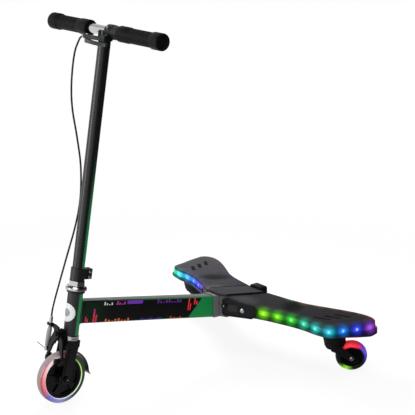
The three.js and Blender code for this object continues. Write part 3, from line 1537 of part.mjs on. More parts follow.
function buildCasterMount(deck, label, side) {
  const middle = side * casterSide;
  const body = turned(mountProfile(), mediumSides).rotateY(casterIncline)
    .translate(casterAlong, middle, casterHeight);
  const reach = 2 * mountRadius;
  const square = [[casterAlong + reach, middle - reach], [casterAlong + reach, middle + reach],
    [casterAlong - reach, middle + reach], [casterAlong - reach, middle - reach]];
  const roofAt = (along) => shellBottomAt(along) + reach;
  const above = slab(square, (along) => shellBottomAt(along) - seatGap, roofAt);
  addMesh(deck, `caster_mount_${label}`, cut(body, above), 'blackPlastic');
}

function casterArmOutline() {
  const spread = casterArmWidth / 2;
  const end = arcPoints(-casterTrail, -casterDrop, casterArmEndRadius, -casterArmEndTurn,
    -casterArmEndTurn - Math.PI, casterArmEndSteps);
  return [[-spread, casterForkTop - casterPlate / 2], [spread, casterForkTop - casterPlate / 2],
    [spread, casterForkTop - casterBodyDepth * casterWebDepthShare], ...end];
}

function buildCasterFork(swivel, label) {
  const armMiddle = casterWidth / 2 + casterArmGap + casterArmThickness / 2;
  const bodyTop = casterForkTop - casterPlate / 2;
  const plate = rod(casterPlateRadius, casterForkTop - casterPlate, casterForkTop, mediumSides);
  const body = rod(casterBodyRadius, casterForkTop - casterBodyDepth, bodyTop, mediumSides);
  const stud = rod(kingpinRadius, bodyTop, casterForkTop + kingpinLength, smallSides);
  const outline = casterArmOutline();
  const arms = bothSides.map(([, side]) => drawnAcross(outline, casterArmThickness, side * armMiddle));
  const web = block([0, -armMiddle, casterForkTop - casterBodyDepth * casterWebDepthShare],
    [casterArmWidth / 2, armMiddle, bodyTop]);
  const wheelRoom = alongY(rod(casterRadius + casterWheelClearance, -casterWidth / 2 - casterArmGap,
    casterWidth / 2 + casterArmGap, largeSides)).translate(-casterTrail, 0, -casterDrop);
  const axleRoom = alongY(rod(casterAxleRadius + boltClearance, -2 * armMiddle, 2 * armMiddle, smallSides))
    .translate(-casterTrail, 0, -casterDrop);
  const whole = join(plate, body, web, ...arms);
  addMesh(swivel, `caster_fork_${label}`, join(cut(whole, wheelRoom, axleRoom), stud), 'blackPlastic');
}

function buildCasterWheel(swivel, label) {
  const wheel = group(swivel, -casterTrail, 0, -casterDrop);
  wheel.name = `caster_wheel_${label}_axis`;
  const tyre = turned(tyreProfile(casterRadius, casterHubRadius + seatGap, casterWidth), tyreSides);
  addMesh(wheel, `caster_tyre_${label}`, alongY(tyre), 'clearTyre');
  const body = hubBody({
    rim: casterHubRadius,
    rimInner: casterHubRadius * casterRimInnerShare,
    rimHalf: casterWidth * casterRimHalfShare,
    webHalf: casterWidth * casterWebHalfShare,
    boss: casterHubBossRadius,
    bossHalf: casterHubBossWidth / 2,
    bore: casterAxleRadius + boltClearance,
  }, mediumSides);
  addMesh(wheel, `caster_hub_${label}`, alongY(body), 'blackPlastic');
}

function buildCasterAxle(swivel, label) {
  const seat = casterWidth / 2 + casterArmGap + casterArmThickness + seatGap;
  const far = -seat - casterAxleHeadHeight;
  const axle = turned([[0, far], [casterAxleHeadRadius, far], [casterAxleHeadRadius, -seat],
    [casterAxleRadius, -seat], [casterAxleRadius, seat],
    ...headProfile(casterAxleHeadRadius, seat, casterAxleHeadHeight)], smallSides);
  const holder = group(swivel, -casterTrail, 0, -casterDrop);
  addMesh(holder, `caster_axle_${label}`, alongY(axle), 'steel');
}

function buildCaster(deck, label, side) {
  buildCasterMount(deck, label, side);
  const swivel = casterFrame(deck, side);
  swivel.name = `caster_${label}_axis`;
  const turnedPart = group(swivel, 0, 0, 0);
  turnedPart.rotation.z = -side * casterSwivel;
  buildCasterFork(turnedPart, label);
  buildCasterWheel(turnedPart, label);
  buildCasterAxle(turnedPart, label);
}

// Put the scooter together
const body = group(scooter, 0, 0, 0);
const head = steeringGroup(body);
const steering = steeringGroup(body);
steering.name = 'steering_axis';
buildMainFrame(body);
buildCups(head);
buildFork(steering);
buildHeadset(steering);
buildFender(steering);
buildFrontWheel(steering);
buildFrontAxle(steering);
buildStem(steering);
buildCollar(steering);
const bars = buildHandlebar(steering);
buildLeverBracket(bars);
buildLeverBlade(bars);
buildLeverPin(bars);
buildLeverBarrel(bars);
buildCable(steering);
buildCaliper(steering);
const deck = group(body, -deckDistance, 0, deckHeight);
buildHub(deck);
buildStrip(deck);
buildTail(deck);
buildBattery(deck);
buildButton(deck);
for (const [label, side] of bothSides) {
  buildWing(deck, label, side);
  buildRootPlate(deck, label, side);
  buildRootBolt(deck, label, side);
  buildCaster(deck, label, side);
}

// Stand the middle of its outline over the origin
const reach = new THREE.Box3().setFromObject(body, true);
body.position.x = -(reach.min.x + reach.max.x) / 2;

export default scooter;
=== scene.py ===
"""Looks of the tricycle drifter scooter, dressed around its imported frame.

Sizes in the classes are millimetres and degrees. Meshes are made in metres, in the frame of
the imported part: +X forward, +Y to the rider's left, +Z up, with the wheels on z = 0.
"""

from __future__ import annotations

import logging
import math
from dataclasses import dataclass
from enum import Enum
from functools import cache, partial
from typing import Callable, Mapping, Sequence

import bmesh
import bpy
import numpy as np
from mathutils import Matrix, Vector


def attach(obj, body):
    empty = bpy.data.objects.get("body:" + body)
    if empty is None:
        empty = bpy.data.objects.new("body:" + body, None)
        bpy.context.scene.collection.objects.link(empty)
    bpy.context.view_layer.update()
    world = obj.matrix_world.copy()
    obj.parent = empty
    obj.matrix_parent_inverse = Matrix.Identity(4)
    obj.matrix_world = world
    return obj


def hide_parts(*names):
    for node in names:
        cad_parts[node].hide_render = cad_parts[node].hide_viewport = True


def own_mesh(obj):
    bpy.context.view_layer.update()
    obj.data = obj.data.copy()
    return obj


LOG = logging.getLogger("scooter")

MM = 0.001
WELD = 1e-6
PACKED_WELD = 1e-5
SPLINE_STEPS = 24
BEVEL_SEGMENTS = 2
BEVEL_ANGLE = math.radians(28)
FLAT_ANGLE = math.radians(0.8)

# Where the steering axis meets the ground, and its lean
FOOT = 325.2476
RAKE = math.radians(9.55)
STEERING = Matrix.Translation((FOOT, 0, 0)) @ Matrix.Rotation(-RAKE, 4, "Y")

# The deck reference, from which the wings and the casters are placed
DECK_X = -198.3524
DECK_Z = 119.0216
DECK = Matrix.Translation((DECK_X, 0, DECK_Z))

SIDES = {"left": 1, "right": -1}

Tree = bpy.types.NodeTree
Node = bpy.types.Node
Socket = bpy.types.NodeSocket
Object = bpy.types.Object
Material = bpy.types.Material
Adder = Callable[..., Node]
Pairs = Sequence[tuple[float, float]]
Points = Sequence[tuple[float, ...]]
Point = tuple[float, float, float]
Stops = tuple[tuple[float, str], ...]
Edges = tuple[np.ndarray, np.ndarray]
HeightField = Callable[[np.ndarray, np.ndarray, np.ndarray], np.ndarray]


class Axis(Enum):
    """The axis that a turned piece runs along."""

    X = Matrix.Rotation(math.pi / 2, 4, "Y")
    Y = Matrix.Rotation(-math.pi / 2, 4, "X")
    Z = Matrix.Identity(4)


# How far the noise is drawn out along a brushed face's lines, and how fine it breaks up
BRUSHED_SQUEEZE = (1.0, 0.04, 1.0)
GRAIN_DETAIL = 2.0
TUMBLED_DETAIL = 5.0


class Texture(Enum):
    """How a surface was made, as the fine pattern it leaves."""

    GRAIN = "even moulded grain"
    PEBBLE = "rounded grip pebbles"
    BRUSHED = "fine lines along one axis"
    TUMBLED = "soft dents of a tumbled casting"
    RIBBED = "narrow ribs along one axis"


def linear(code: str) -> tuple[float, float, float, float]:
    """Turn an sRGB hex colour into the linear one that Blender's sockets take.

    Args:
        code: The colour as #rrggbb.

    Returns:
        Linear red, green, blue and an alpha of 1.
    """
    full, toe, slope, offset, gamma = 255, 0.04045, 12.92, 0.055, 2.4
    values = [int(code[start : start + 2], 16) / full for start in (1, 3, 5)]
    return (*(v / slope if v <= toe else ((v + offset) / (1 + offset)) ** gamma for v in values), 1.0)


def add_node(tree: Tree, kind: str, inputs: Mapping | None = None, **settings: object) -> Node:
    """Add a node with its settings, its values and its links.

    Args:
        tree: The node tree that it goes into.
        kind: The node's type, without the prefix that all shader nodes share.
        inputs: For each input's name or number a value, or a node or an output to link.
        settings: Properties of the node.

    Returns:
        The new node.
    """
    node = tree.nodes.new(kind if "Node" in kind else f"ShaderNode{kind}")
    for name, value in settings.items():
        setattr(node, name, value)
    for key, value in (inputs or {}).items():
        if isinstance(value, Node):
            value = next(output for output in value.outputs if output.enabled)
        if isinstance(value, Socket):
            tree.links.new(value, node.inputs[key])
        else:
            node.inputs[key].default_value = value
    return node


def ranged(value: Node | Socket, start: float, end: float, low: float = 0.0, high: float = 1.0) -> dict:
    """Return the inputs that map a value from one range to another."""
    return {"Value": value, "From Min": start, "From Max": end, "To Min": low, "To Max": high}


def new_material(name: str) -> tuple[Material, Adder]:
    """Make an empty material.

    Args:
        name: Its name.

    Returns:
        The material, and the function that adds a node to it.
    """
    material = bpy.data.materials.new(name)
    material.use_nodes = True
    material.node_tree.nodes.clear()
    return material, partial(add_node, material.node_tree)


@dataclass(frozen=True)
class Fade:
    """A soft change to a second colour along a direction.

    The direction is in the piece's own axes. It is measured on the surface's facing where
    by_normal is true, and otherwise in millimetres on its place. Within another fade, it
    shows only as far as that one does.
    """

    colour: str
    direction: Point
    start: float
    end: float
    by_normal: bool = False
    within: Fade | None = None

    def share(self, new: Adder, place: Node) -> Node:
        """Make the nodes that say how far the change has come.

        Args:
            new: Adds a node to the material.
            place: The material's texture coordinates.

        Returns:
            The share, from 0 to 1.
        """
        unit = 1 if self.by_normal else MM
        source = place.outputs["Normal" if self.by_normal else "Object"]
        along = new("VectorMath", {0: source, 1: self.direction}, operation="DOT_PRODUCT")
        limits = ranged(along, self.start * unit, self.end * unit)
        share = new("MapRange", limits, interpolation_type="SMOOTHSTEP")
        if self.within is None:
            return share
        return new("Math", {0: share, 1: self.within.share(new, place)}, operation="MULTIPLY")


@dataclass(frozen=True)
class Finish:
    """A real surface: its colour, its gloss and the fine texture of how it was made.

    The grain is the texture's pitch, the depth its height and the cloud the width of the
    patches in which colour and gloss vary, all in millimetres. Some finishes carry a glow
    from the lamps, which on the shell and the pad is painted light.
    """

    name: str
    colour: str
    shade: str
    roughness: float
    metallic: float = 0.0
    ior: float = 1.5
    texture: Texture = Texture.GRAIN
    grain: float = 1.0
    depth: float = 0.03
    cloud: float = 45.0
    gloss_spread: float = 0.08
    fades: tuple[Fade, ...] = ()
    glow: float = 0.0
    specular: float = 0.5
    with_painted_shading: bool = False

    @cache
    def material(self) -> Material:
        """Make the finish as a Blender material, once.

        Returns:
            The material.
        """
        material, new = new_material(self.name)
        coordinates = new("TexCoord")
        place = coordinates.outputs["Object"]
        cloud = new("TexNoise", {"Vector": place, "Scale": 1 / (self.cloud * MM)})
        tone = new("Mix", {0: cloud, 6: linear(self.colour), 7: linear(self.shade)}, data_type="RGBA")
        for fade in self.fades:
            layers = {0: fade.share(new, coordinates), 6: tone, 7: linear(fade.colour)}
            tone = new("Mix", layers, data_type="RGBA")
        # Painted shade and painted highlight, stored on the piece, multiply the colour
        if self.with_painted_shading:
            tint = new("Attribute", attribute_name="tint")
            tone = new("Mix", {0: 1.0, 6: tone, 7: tint}, data_type="RGBA", blend_type="MULTIPLY")
        low, high = self.roughness - self.gloss_spread, self.roughness + self.gloss_spread
        surface = {
            "Base Color": tone,
            "Metallic": self.metallic,
            "IOR": self.ior,
            "Specular IOR Level": self.specular,
            "Roughness": new("MapRange", ranged(cloud, 0, 1, low, high)),
            "Normal": new("Bump", {"Height": self.relief(new, place), "Distance": self.depth * MM}),
        }
        # The glow is the lamps' own light on band and windows, and painted light from them on the shell and
        # the pad
        if self.glow:
            surface["Emission Color"] = new("Attribute", attribute_name="glow")
            surface["Emission Strength"] = self.glow
        new("OutputMaterial", {"Surface": new("BsdfPrincipled", surface)})
        return material

    def relief(self, new: Adder, place: Socket) -> Node | Socket:
        """Make the height pattern of the texture, at its real size.

        Args:
            new: Adds a node to the material.
            place: The piece's own coordinates in metres.

        Returns:
            The height, from 0 to 1.
        """
        scale = 1 / (self.grain * MM)
        if self.texture is Texture.PEBBLE:
            bumps = {"Vector": place, "Scale": scale, "Smoothness": 0.6}
            cells = new("TexVoronoi", bumps, feature="SMOOTH_F1")
            return new("Math", {0: 1.0, 1: cells}, operation="SUBTRACT")
        if self.texture is Texture.RIBBED:
            ribs = {"Vector": place, "Scale": scale / math.tau, "Distortion": 0.0}
            return new("TexWave", ribs, bands_direction="Y").outputs["Fac"]
        squeeze = BRUSHED_SQUEEZE if self.texture is Texture.BRUSHED else (1.0, 1.0, 1.0)
        stretched = new("VectorMath", {0: place, 1: squeeze}, operation="MULTIPLY")
        detail = TUMBLED_DETAIL if self.texture is Texture.TUMBLED else GRAIN_DETAIL
        return new("TexNoise", {"Vector": stretched, "Scale": scale, "Detail": detail})


@dataclass(frozen=True)
class LitTyre:
    """Clear cast polyurethane with lamps inside it.

    The colours of the inner and the outer ring change round the tyre: 0 is behind the axle,
    then below it at a quarter, ahead at a half and above at three quarters. Over them lie
    the rims: a colour, the ring of radii in which it sets in, and its share from there on.
    They are painted reflections, of what the clear tread mirrors where it turns away
    from the lamps.
    """

    name: str
    inner: Stops
    outer: Stops
    ring: tuple[float, float]
    painted_reflection_rims: tuple[tuple[str, tuple[float, float], float], ...]
    strength: float = 0.45
    ripple: float = 18.0
    ripple_depth: float = 0.1
    roughness: tuple[float, float] = (0.08, 0.2)
    specular: float = 0.35

    @cache
    def material(self) -> Material:
        """Make the lit tyre's material, once.

        Returns:
            The material.
        """
        material, new = new_material(self.name)
        place = new("TexCoord").outputs["Object"]
        parts = new("SeparateXYZ", {0: place}).outputs
        turn = new("Math", {0: parts["Z"], 1: parts["X"]}, operation="ARCTAN2")
        share = new("MapRange", ranged(turn, -math.pi, math.pi))
        from_axle = new("CombineXYZ", {"X": parts["X"], "Z": parts["Z"]})
        radius = new("VectorMath", {0: from_axle}, operation="LENGTH")
        ramps = []
        for stops in (self.inner, self.outer):
            ramp = new("ValToRGB", {0: share})
            for _ in stops[2:]:
                ramp.color_ramp.elements.new(0.5)
            for element, (position, code) in zip(ramp.color_ramp.elements, stops):
                element.position = position
                element.color = linear(code)
            ramps.append(ramp)
        limits = ranged(radius, self.ring[0] * MM, self.ring[1] * MM)
        outward = new("MapRange", limits, interpolation_type="SMOOTHSTEP")
        tone = under = new("Mix", {0: outward, 6: ramps[0], 7: ramps[1]}, data_type="RGBA")
        for code, (start, end), cover in self.painted_reflection_rims:
            outward = new("MapRange", ranged(radius, start * MM, end * MM), interpolation_type="SMOOTHSTEP")
            veil = new("Mix", {0: cover, 6: under, 7: linear(code)}, data_type="RGBA")
            tone = new("Mix", {0: outward, 6: tone, 7: veil}, data_type="RGBA")
        ripple = new("TexNoise", {"Vector": place, "Scale": 1 / (self.ripple * MM)})
        surface = {
            "Base Color": tone,
            "Roughness": new("MapRange", ranged(ripple, 0, 1, *self.roughness)),
            "Normal": new("Bump", {"Height": ripple, "Distance": self.ripple_depth * MM}),
            "IOR": 1.5,
            "Specular IOR Level": self.specular,
            "Emission Color": tone,
            "Emission Strength": self.strength,
        }
        new("OutputMaterial", {"Surface": new("BsdfPrincipled", surface)})
        return material


@dataclass
class Shape:
    """Corners in millimetres, and the faces between them."""

    points: np.ndarray
    faces: list[tuple[int, ...]]

    def moved(self, matrix: Matrix) -> Shape:
        """Return the shape placed by a matrix."""
        return Shape(self.points @ np.array(matrix.to_3x3()).T + np.array(matrix.translation), self.faces)

    def shifted(self, x: float, y: float, z: float) -> Shape:
        """Return the shape moved along the axes."""
        return Shape(self.points + (x, y, z), self.faces)

    def joined(self, *others: Shape) -> Shape:
        """Return this shape and others as one.

        Args:
            others: The shapes that join it.

        Returns:
            One shape of them all.
        """
        points, faces = self.points, list(self.faces)
        for other in others:
            faces += [tuple(i + len(points) for i in face) for face in other.faces]
            points = np.vstack([points, other.points])
        return Shape(points, faces)

    def mirrored(self, side: int) -> Shape:
        """Return the shape for that side of the scooter."""
        return self if side > 0 else Shape(self.points * (1, -1, 1), self.faces)

    def placed(self, name: str, material: Material, place: Matrix, crease: float = 30.0) -> Object:
        """Make the shape into a Blender object.

        Args:
            name: The object's name.
            material: What it is made of.
            place: Where its own axes stand, in millimetres.
            crease: The angle from which an edge stays sharp, in degrees.

        Returns:
            The new object, in the scene.
        """
        mesh = bpy.data.meshes.new(name)
        mesh.from_pydata((self.points * MM).tolist(), [], self.faces)
        clean = bmesh.new()
        clean.from_mesh(mesh)
        bmesh.ops.remove_doubles(clean, verts=clean.verts, dist=WELD)
        bmesh.ops.recalc_face_normals(clean, faces=clean.faces)
        clean.to_mesh(mesh)
        clean.free()
        mesh.shade_smooth()
        mesh.set_sharp_from_angle(angle=math.radians(crease))
        mesh.materials.append(material)
        made = bpy.data.objects.new(name, mesh)
        bpy.context.scene.collection.objects.link(made)
        made.matrix_world = Matrix.Translation(place.translation * MM) @ place.to_3x3().to_4x4()
        return made

    def piece(
        self,
        name: str,
        finish: Finish | LitTyre,
        place: Matrix,
        body: str,
        slot: str,
        *nodes: str,
        bevel: float = 0.0,
        crease: float = 30.0,
    ) -> Object:
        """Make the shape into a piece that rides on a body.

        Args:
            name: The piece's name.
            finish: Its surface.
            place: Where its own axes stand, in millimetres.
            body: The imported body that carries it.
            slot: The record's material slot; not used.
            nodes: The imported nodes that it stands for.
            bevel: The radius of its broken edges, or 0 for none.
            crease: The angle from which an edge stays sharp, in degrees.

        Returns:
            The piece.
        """
        made = self.placed(name, finish.material(), place, crease)
        if bevel:
            add_bevel(made, bevel)
        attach(made, body)
        if nodes:
            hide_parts(*nodes)
        LOG.info("made %s on %s", name, body)
        return made


def add_bevel(piece: Object, radius: float) -> None:
    """Break the sharp edges of a piece.

    Args:
        piece: The piece.
        radius: The radius of its broken edges, in millimetres.
    """
    modifier = piece.modifiers.new("broken_edges", "BEVEL")
    modifier.width = radius * MM
    modifier.segments = BEVEL_SEGMENTS
    modifier.limit_method = "ANGLE"
    modifier.angle_limit = BEVEL_ANGLE
    modifier.use_clamp_overlap = True
    modifier.harden_normals = True


@cache
def smoothing_group() -> Tree:
    """Make, once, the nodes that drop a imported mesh's stored normals and shade it smooth.

    Returns:
        The node group.
    """
    tree = bpy.data.node_groups.new("smooth_shading", "GeometryNodeTree")
    for direction in ("INPUT", "OUTPUT"):
        tree.interface.new_socket("Geometry", in_out=direction, socket_type="NodeSocketGeometry")
    flow = add_node(tree, "NodeGroupInput")
    for stored in ("custom_normal", "sharp_edge"):
        flow = add_node(tree, "GeometryNodeRemoveAttribute", {"Geometry": flow, "Name": stored})
    flow = add_node(tree, "GeometryNodeSetShadeSmooth", {"Geometry": flow})
    add_node(tree, "NodeGroupOutput", {0: flow})
    return tree


def dress(finish: Finish, bevel: float, *nodes: str) -> None:
    """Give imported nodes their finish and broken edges, without touching their meshes.

    Args:
        finish: What they are made of.
        bevel: The radius of their broken edges in millimetres, or 0 for a round cord.
        nodes: The nodes' names.
    """
    for node in nodes:
        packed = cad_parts[node]
        packed.data.materials.clear()
        packed.data.materials.append(finish.material())
        packed.modifiers.new("welded", "WELD").merge_threshold = PACKED_WELD
        if bevel:
            flat = packed.modifiers.new("plain_faces", "DECIMATE")
            flat.decimate_type = "DISSOLVE"
            flat.angle_limit = FLAT_ANGLE
        packed.modifiers.new("smooth", "NODES").node_group = smoothing_group()
        if bevel:
            add_bevel(packed, bevel)
        LOG.info("dressed %s in %s", node, finish.name)


def lofted(rings: Points | np.ndarray, closed: bool = False) -> Shape:
    """Join rings of points to each other in turn.

    Args:
        rings: The rings, each of as many points.
        closed: Whether the last ring joins the first; otherwise both get an end face.

    Returns:
        The body, whose end faces come last.
    """
    rings = np.array(rings, float)
    count, around = rings.shape[:2]
    faces = []
    for ring in range(count if closed else count - 1):
        near, far = ring * around, (ring + 1) % count * around
        for i in range(around):
            j = (i + 1) % around
            faces.append((near + i, near + j, far + j, far + i))
    if not closed:
        faces += [tuple(reversed(range(around))), tuple(range((count - 1) * around, count * around))]
    return Shape(rings.reshape(-1, 3), faces)


def turned(profile: Pairs, sides: int, axis: Axis = Axis.Z) -> Shape:
    """Turn a closed profile of radius and height round an axis.

    Args:
        profile: Radius and height pairs; the last joins the first.
        sides: Facets round the piece.
        axis: The axis it is turned about.

    Returns:
        The turned shape.
    """
    circle = round_points(1, sides)
    rings = [[(radius * x, radius * y, height) for radius, height in profile] for x, y in circle]
    return lofted(rings, closed=True).moved(axis.value)


def drawn(outline: Pairs, low: float, high: float) -> Shape:
    """Draw an outline of x and y up from one height to another."""
    return lofted([[(x, y, z) for x, y in outline] for z in (low, high)])


def round_points(radius: float, count: int, start: float = 0.0, end: float = math.tau) -> Pairs:
    """Return points along an arc about the origin."""
    angles = np.linspace(start, end, count, endpoint=False)
    return [(radius * math.cos(t), radius * math.sin(t)) for t in angles]


def rounded_rectangle(width: float, height: float, radius: float, steps: int) -> Pairs:
    """Return the outline of a centred rectangle with round corners.

    Args:
        width: Its width.
        height: Its height.
        radius: The radius of its corners.
        steps: Facets round each corner.

    Returns:
        The outline's points.
    """
    outline = []
    for turn, (across, up) in enumerate([(1, 1), (-1, 1), (-1, -1), (1, -1)]):
        for angle in (turn + np.linspace(0, 1, steps + 1)) * math.pi / 2:
            x, y = across * (width / 2 - radius), up * (height / 2 - radius)
            outline.append((x + radius * math.cos(angle), y + radius * math.sin(angle)))
    return outline


def swept(path: np.ndarray, radii: Sequence[float], sides: int, closed: bool = False) -> Shape:
    """Sweep a round section along a path.

    Args:
        path: The points of the middle line.
        radii: A radius for each point.
        sides: Facets round the section.
        closed: Whether the path joins itself.

    Returns:
        The swept shape.
    """
    count = len(path)
    rings = []
    side = Vector((0, 0, 1))
    for i, centre in enumerate(path):
        ahead = path[(i + 1) % count] if closed else path[min(i + 1, count - 1)]
        behind = path[i - 1] if closed or i else path[i]
        forward = Vector(ahead - behind).normalized()
        across = side - side.dot(forward) * forward
        if across.length < WELD:
            across = Vector((1, 0, 0)) - forward.x * forward
        side = across.normalized()
        up = forward.cross(side)
        rings.append([Vector(centre) + side * x + up * y for x, y in round_points(radii[i], sides)])
    return lofted(rings, closed)


def walk(path: np.ndarray) -> np.ndarray:
    """Return how far each point of a path is from its start, along the path."""
    return np.concatenate([[0], np.cumsum(np.linalg.norm(np.diff(path, axis=0), axis=1))])


def smooth_path(knots: Points, count: int) -> np.ndarray:
    """Run a centripetal spline through knots and space its points evenly.

    Args:
        knots: The points it passes through, of two or three numbers.
        count: How many steps to cut it into.

    Returns:
        The count + 1 points.
    """
    given = np.array(knots, float)
    padded = np.vstack([2 * given[0] - given[1], given, 2 * given[-1] - given[-2]])
    fine = []
    for before, start, end, after in zip(padded, padded[1:], padded[2:], padded[3:]):
        a, b, c = (math.sqrt(np.linalg.norm(gap)) for gap in (start - before, end - start, after - end))
        leave = b * ((start - before) / a - (end - before) / (a + b) + (end - start) / b)
        arrive = b * ((end - start) / b - (after - start) / (b + c) + (after - end) / c)
        square = 3 * (end - start) - 2 * leave - arrive
        cube = 2 * (start - end) + leave + arrive
        for t in np.linspace(0, 1, SPLINE_STEPS, endpoint=False):
            fine.append(start + leave * t + square * t**2 + cube * t**3)
    fine = np.array([*fine, given[-1]])
    walked = walk(fine)
    even = np.linspace(0, walked[-1], count + 1)
    return np.stack([np.interp(even, walked, column) for column in fine.T], axis=1)


# What the sprayed paints share, and what the moulded nylons share
PAINT = {"grain": 1.6, "depth": 0.02}
NYLON = {"ior": 1.53, "grain": 0.7, "depth": 0.05}

# Lacquer on the fork and the brake arms, and powder coat on the tubes: black with a faint orange peel
ARM_PAINT = Finish("gloss_black_arm_lacquer", "#060607", "#0c0d0e", 0.3, specular=0.2, **PAINT)
BLACK_PAINT = Finish("satin_black_powder_coat", "#0b0c0d", "#121314", 0.4, specular=0.45, **PAINT)
# The same coat with emerald sprayed on the back of the head tube and all over the beam. The emerald low on
# the stem's back is a painted green glow of the deck's lamps, laid on the black coat
STEM_GLOW_SIDE = Fade("#0a7f46", (-1, 0, 0), -0.12, 0.2, by_normal=True)
STEM_PAINT = Finish(
    "black_powder_coat_with_painted_green_glow", "#0e0f10", "#151617", 0.34, **PAINT,
    fades=(Fade("#0a7f46", (0, 0, -1), -620, -400, within=STEM_GLOW_SIDE),),
)
HEAD_PAINT = Finish(
    "textured_powder_coat_with_emerald_back", "#1d1c20", "#27262a", 0.5, specular=0.4,
    texture=Texture.PEBBLE, grain=1.1, depth=0.12,
    fades=(Fade("#0a8446", (-1, 0, 0), -0.17, 0.16, by_normal=True),),
)
BEAM_PAINT = Finish(
    "emerald_powder_coat", "#078a45", "#067c3e", 0.35, specular=0.35, **PAINT,
    fades=(Fade("#04170f", (1, 0, 0), -330, -40), Fade("#575558", (0, 0, 1), 26.2, 27.2)),
)
# A matt coat on the deck's casting, which scatters most of the light
GREY_PAINT = Finish("matt_grey_powder_coat", "#626064", "#6c6a6e", 0.6, specular=0.3, grain=1.2, depth=0.06)
# Nickel chrome: mirror bright, with faint polishing lines
CHROME = Finish(
    "polished_chrome", "#cfcfd0", "#c2c2c4", 0.14, metallic=1.0, texture=Texture.BRUSHED, grain=0.6,
    depth=0.004, gloss_spread=0.05,
)
# Zinc plate: a duller, bluish grey mirror with a finely drawn face
ZINC = Finish(
    "bright_zinc_plate", "#b9bcc0", "#9ea2a7", 0.28, metallic=1.0, texture=Texture.BRUSHED, grain=0.5,
    depth=0.01,
)
# Oil blacked spring steel: dark, with a dull metal gleam
BLACK_STEEL = Finish("oil_blacked_steel", "#17181a", "#222426", 0.38, metallic=0.8, depth=0.01)
# Cast aluminium, tumbled and blacked: dark grey with soft dents and brighter patches
CAST = Finish(
    "blacked_tumbled_aluminium", "#262828", "#3b3e3e", 0.42, metallic=0.85, texture=Texture.TUMBLED,
    grain=3.0, depth=0.35, cloud=9,
)
# Moulded nylon and ABS: near black with a spark eroded grain, which keeps it from shining
BLACK_PLASTIC = Finish("spark_grained_black_nylon", "#09090a", "#101112", 0.45, specular=0.25, **NYLON)
# The teal at the fender's root is a painted teal reflection on the black nylon
FENDER_PLASTIC = Finish(
    "black_nylon_with_painted_teal_reflection", "#070708", "#0d0e0f", 0.4, specular=0.12, **NYLON,
    fades=(Fade("#0a3c48", (0, 0, 1), 96, 122),),
)
# The shell's glow is painted light from the band's lamps
SHELL_PLASTIC = Finish("grained_black_shell", "#08080a", "#0f1012", 0.4, specular=0.2, glow=1.0, **NYLON)
# The same nylon, rubbed to a faint grey on a raised rib, and polished to a dark gloss in the hubs
RIB_PLASTIC = Finish(
    "worn_black_nylon", "#1f2021", "#2a2b2c", 0.5, ior=1.53, specular=0.3, grain=0.9, depth=0.05
)
HUB_PLASTIC = Finish(
    "glossy_black_hub_nylon", "#020203", "#060607", 0.3, ior=1.53, specular=0.15, grain=2.0, depth=0.01
)
# Soft thermoplastic pads and strip, with pebbles that are a little coarse so that they show
# The pad's glow is painted light from the band's lamps; its stored tint is painted shade in the foot dish
# and a painted highlight at the toe
GRIP_PAD = Finish(
    "dark_grip_pad", "#232225", "#2a292c", 0.6, ior=1.46, specular=0.12, texture=Texture.PEBBLE, grain=1.6,
    depth=0.22, glow=1.0, with_painted_shading=True,
)
STRIP_PAD = Finish(
    "grey_centre_strip", "#2b2a2d", "#333235", 0.6, ior=1.46, specular=0.15, texture=Texture.PEBBLE,
    grain=1.4, depth=0.15,
)
# Moulded rubber: deep black with almost no gloss, and finely ribbed where a hand holds it
RUBBER = Finish(
    "matt_black_rubber", "#0c0c0d", "#141415", 0.72, ior=1.52, specular=0.25, grain=0.9, depth=0.06
)
GRIP_RUBBER = Finish(
    "ribbed_black_rubber", "#08080a", "#0f0f11", 0.5, ior=1.52, specular=0.1, texture=Texture.RIBBED,
    grain=1.5, depth=0.12,
)
# Extruded vinyl round the cable, smoother than the rubber, and the pale rubber of boot and button
CABLE_SHEATH = Finish("black_cable_sheath", "#0c0c0e", "#131315", 0.4, specular=0.35, grain=2.0, depth=0.01)
GREY_RUBBER = Finish("grey_boot_rubber", "#8d8986", "#9c9895", 0.5, grain=1.4, depth=0.04)
# Tinted polycarbonate: black where it is dark and bright where a lamp stands behind it
BAND_PLASTIC = Finish(
    "lit_polycarbonate_band", "#060809", "#0a0d0e", 0.4, ior=1.58, specular=0.3, grain=3.0, glow=1.0
)
LAMP = Finish("lamp_window", "#20282c", "#2c343a", 0.25, specular=0.3, grain=2.0, depth=0.01, glow=1.0)
# Blue shrink film round the battery's cells
SLEEVE = Finish("battery_shrink_sleeve", "#2c3c78", "#33458a", 0.4, grain=2.0, depth=0.02)
# Vinyl on the painted steel: smooth and glossy, white with a beaded face where it reflects
WHITE_VINYL = Finish(
    "white_reflector_vinyl", "#e6e7e8", "#dcdddf", 0.3, texture=Texture.PEBBLE, grain=0.9, depth=0.04
)
SILVER_VINYL = Finish("silver_grey_vinyl", "#8f9194", "#9da0a3", 0.32, grain=1.4, depth=0.02)
DECAL_FIELD = Finish(
    "black_print_on_vinyl", "#050506", "#080709", 0.3, specular=0.3, grain=2.0, depth=0.01,
    fades=(Fade("#04220f", (1, 0, 0), -105, -45),),
)


def vinyl(name: str, colour: str, shade: str) -> Finish:
    """Return a printed bar's glossy vinyl, which runs from one colour to another up the bar."""
    fade = Fade(shade, (0, 0, 1), -14, 16)
    return Finish(name, colour, colour, 0.35, specular=0.3, grain=2.0, depth=0.01, fades=(fade,))


ROSE = vinyl("rose_vinyl", "#e02440", "#6f1f9c")
RED = vinyl("red_vinyl", "#e01c30", "#ee2c38")
MAGENTA = vinyl("magenta_vinyl", "#a82aa8", "#c838b4")
PURPLE = vinyl("purple_vinyl", "#4a1c8c", "#6f28ac")
ORANGE = vinyl("orange_vinyl", "#e86a30", "#f09a40")
PALE = vinyl("pale_vinyl", "#b9b4cc", "#d8d4dc")


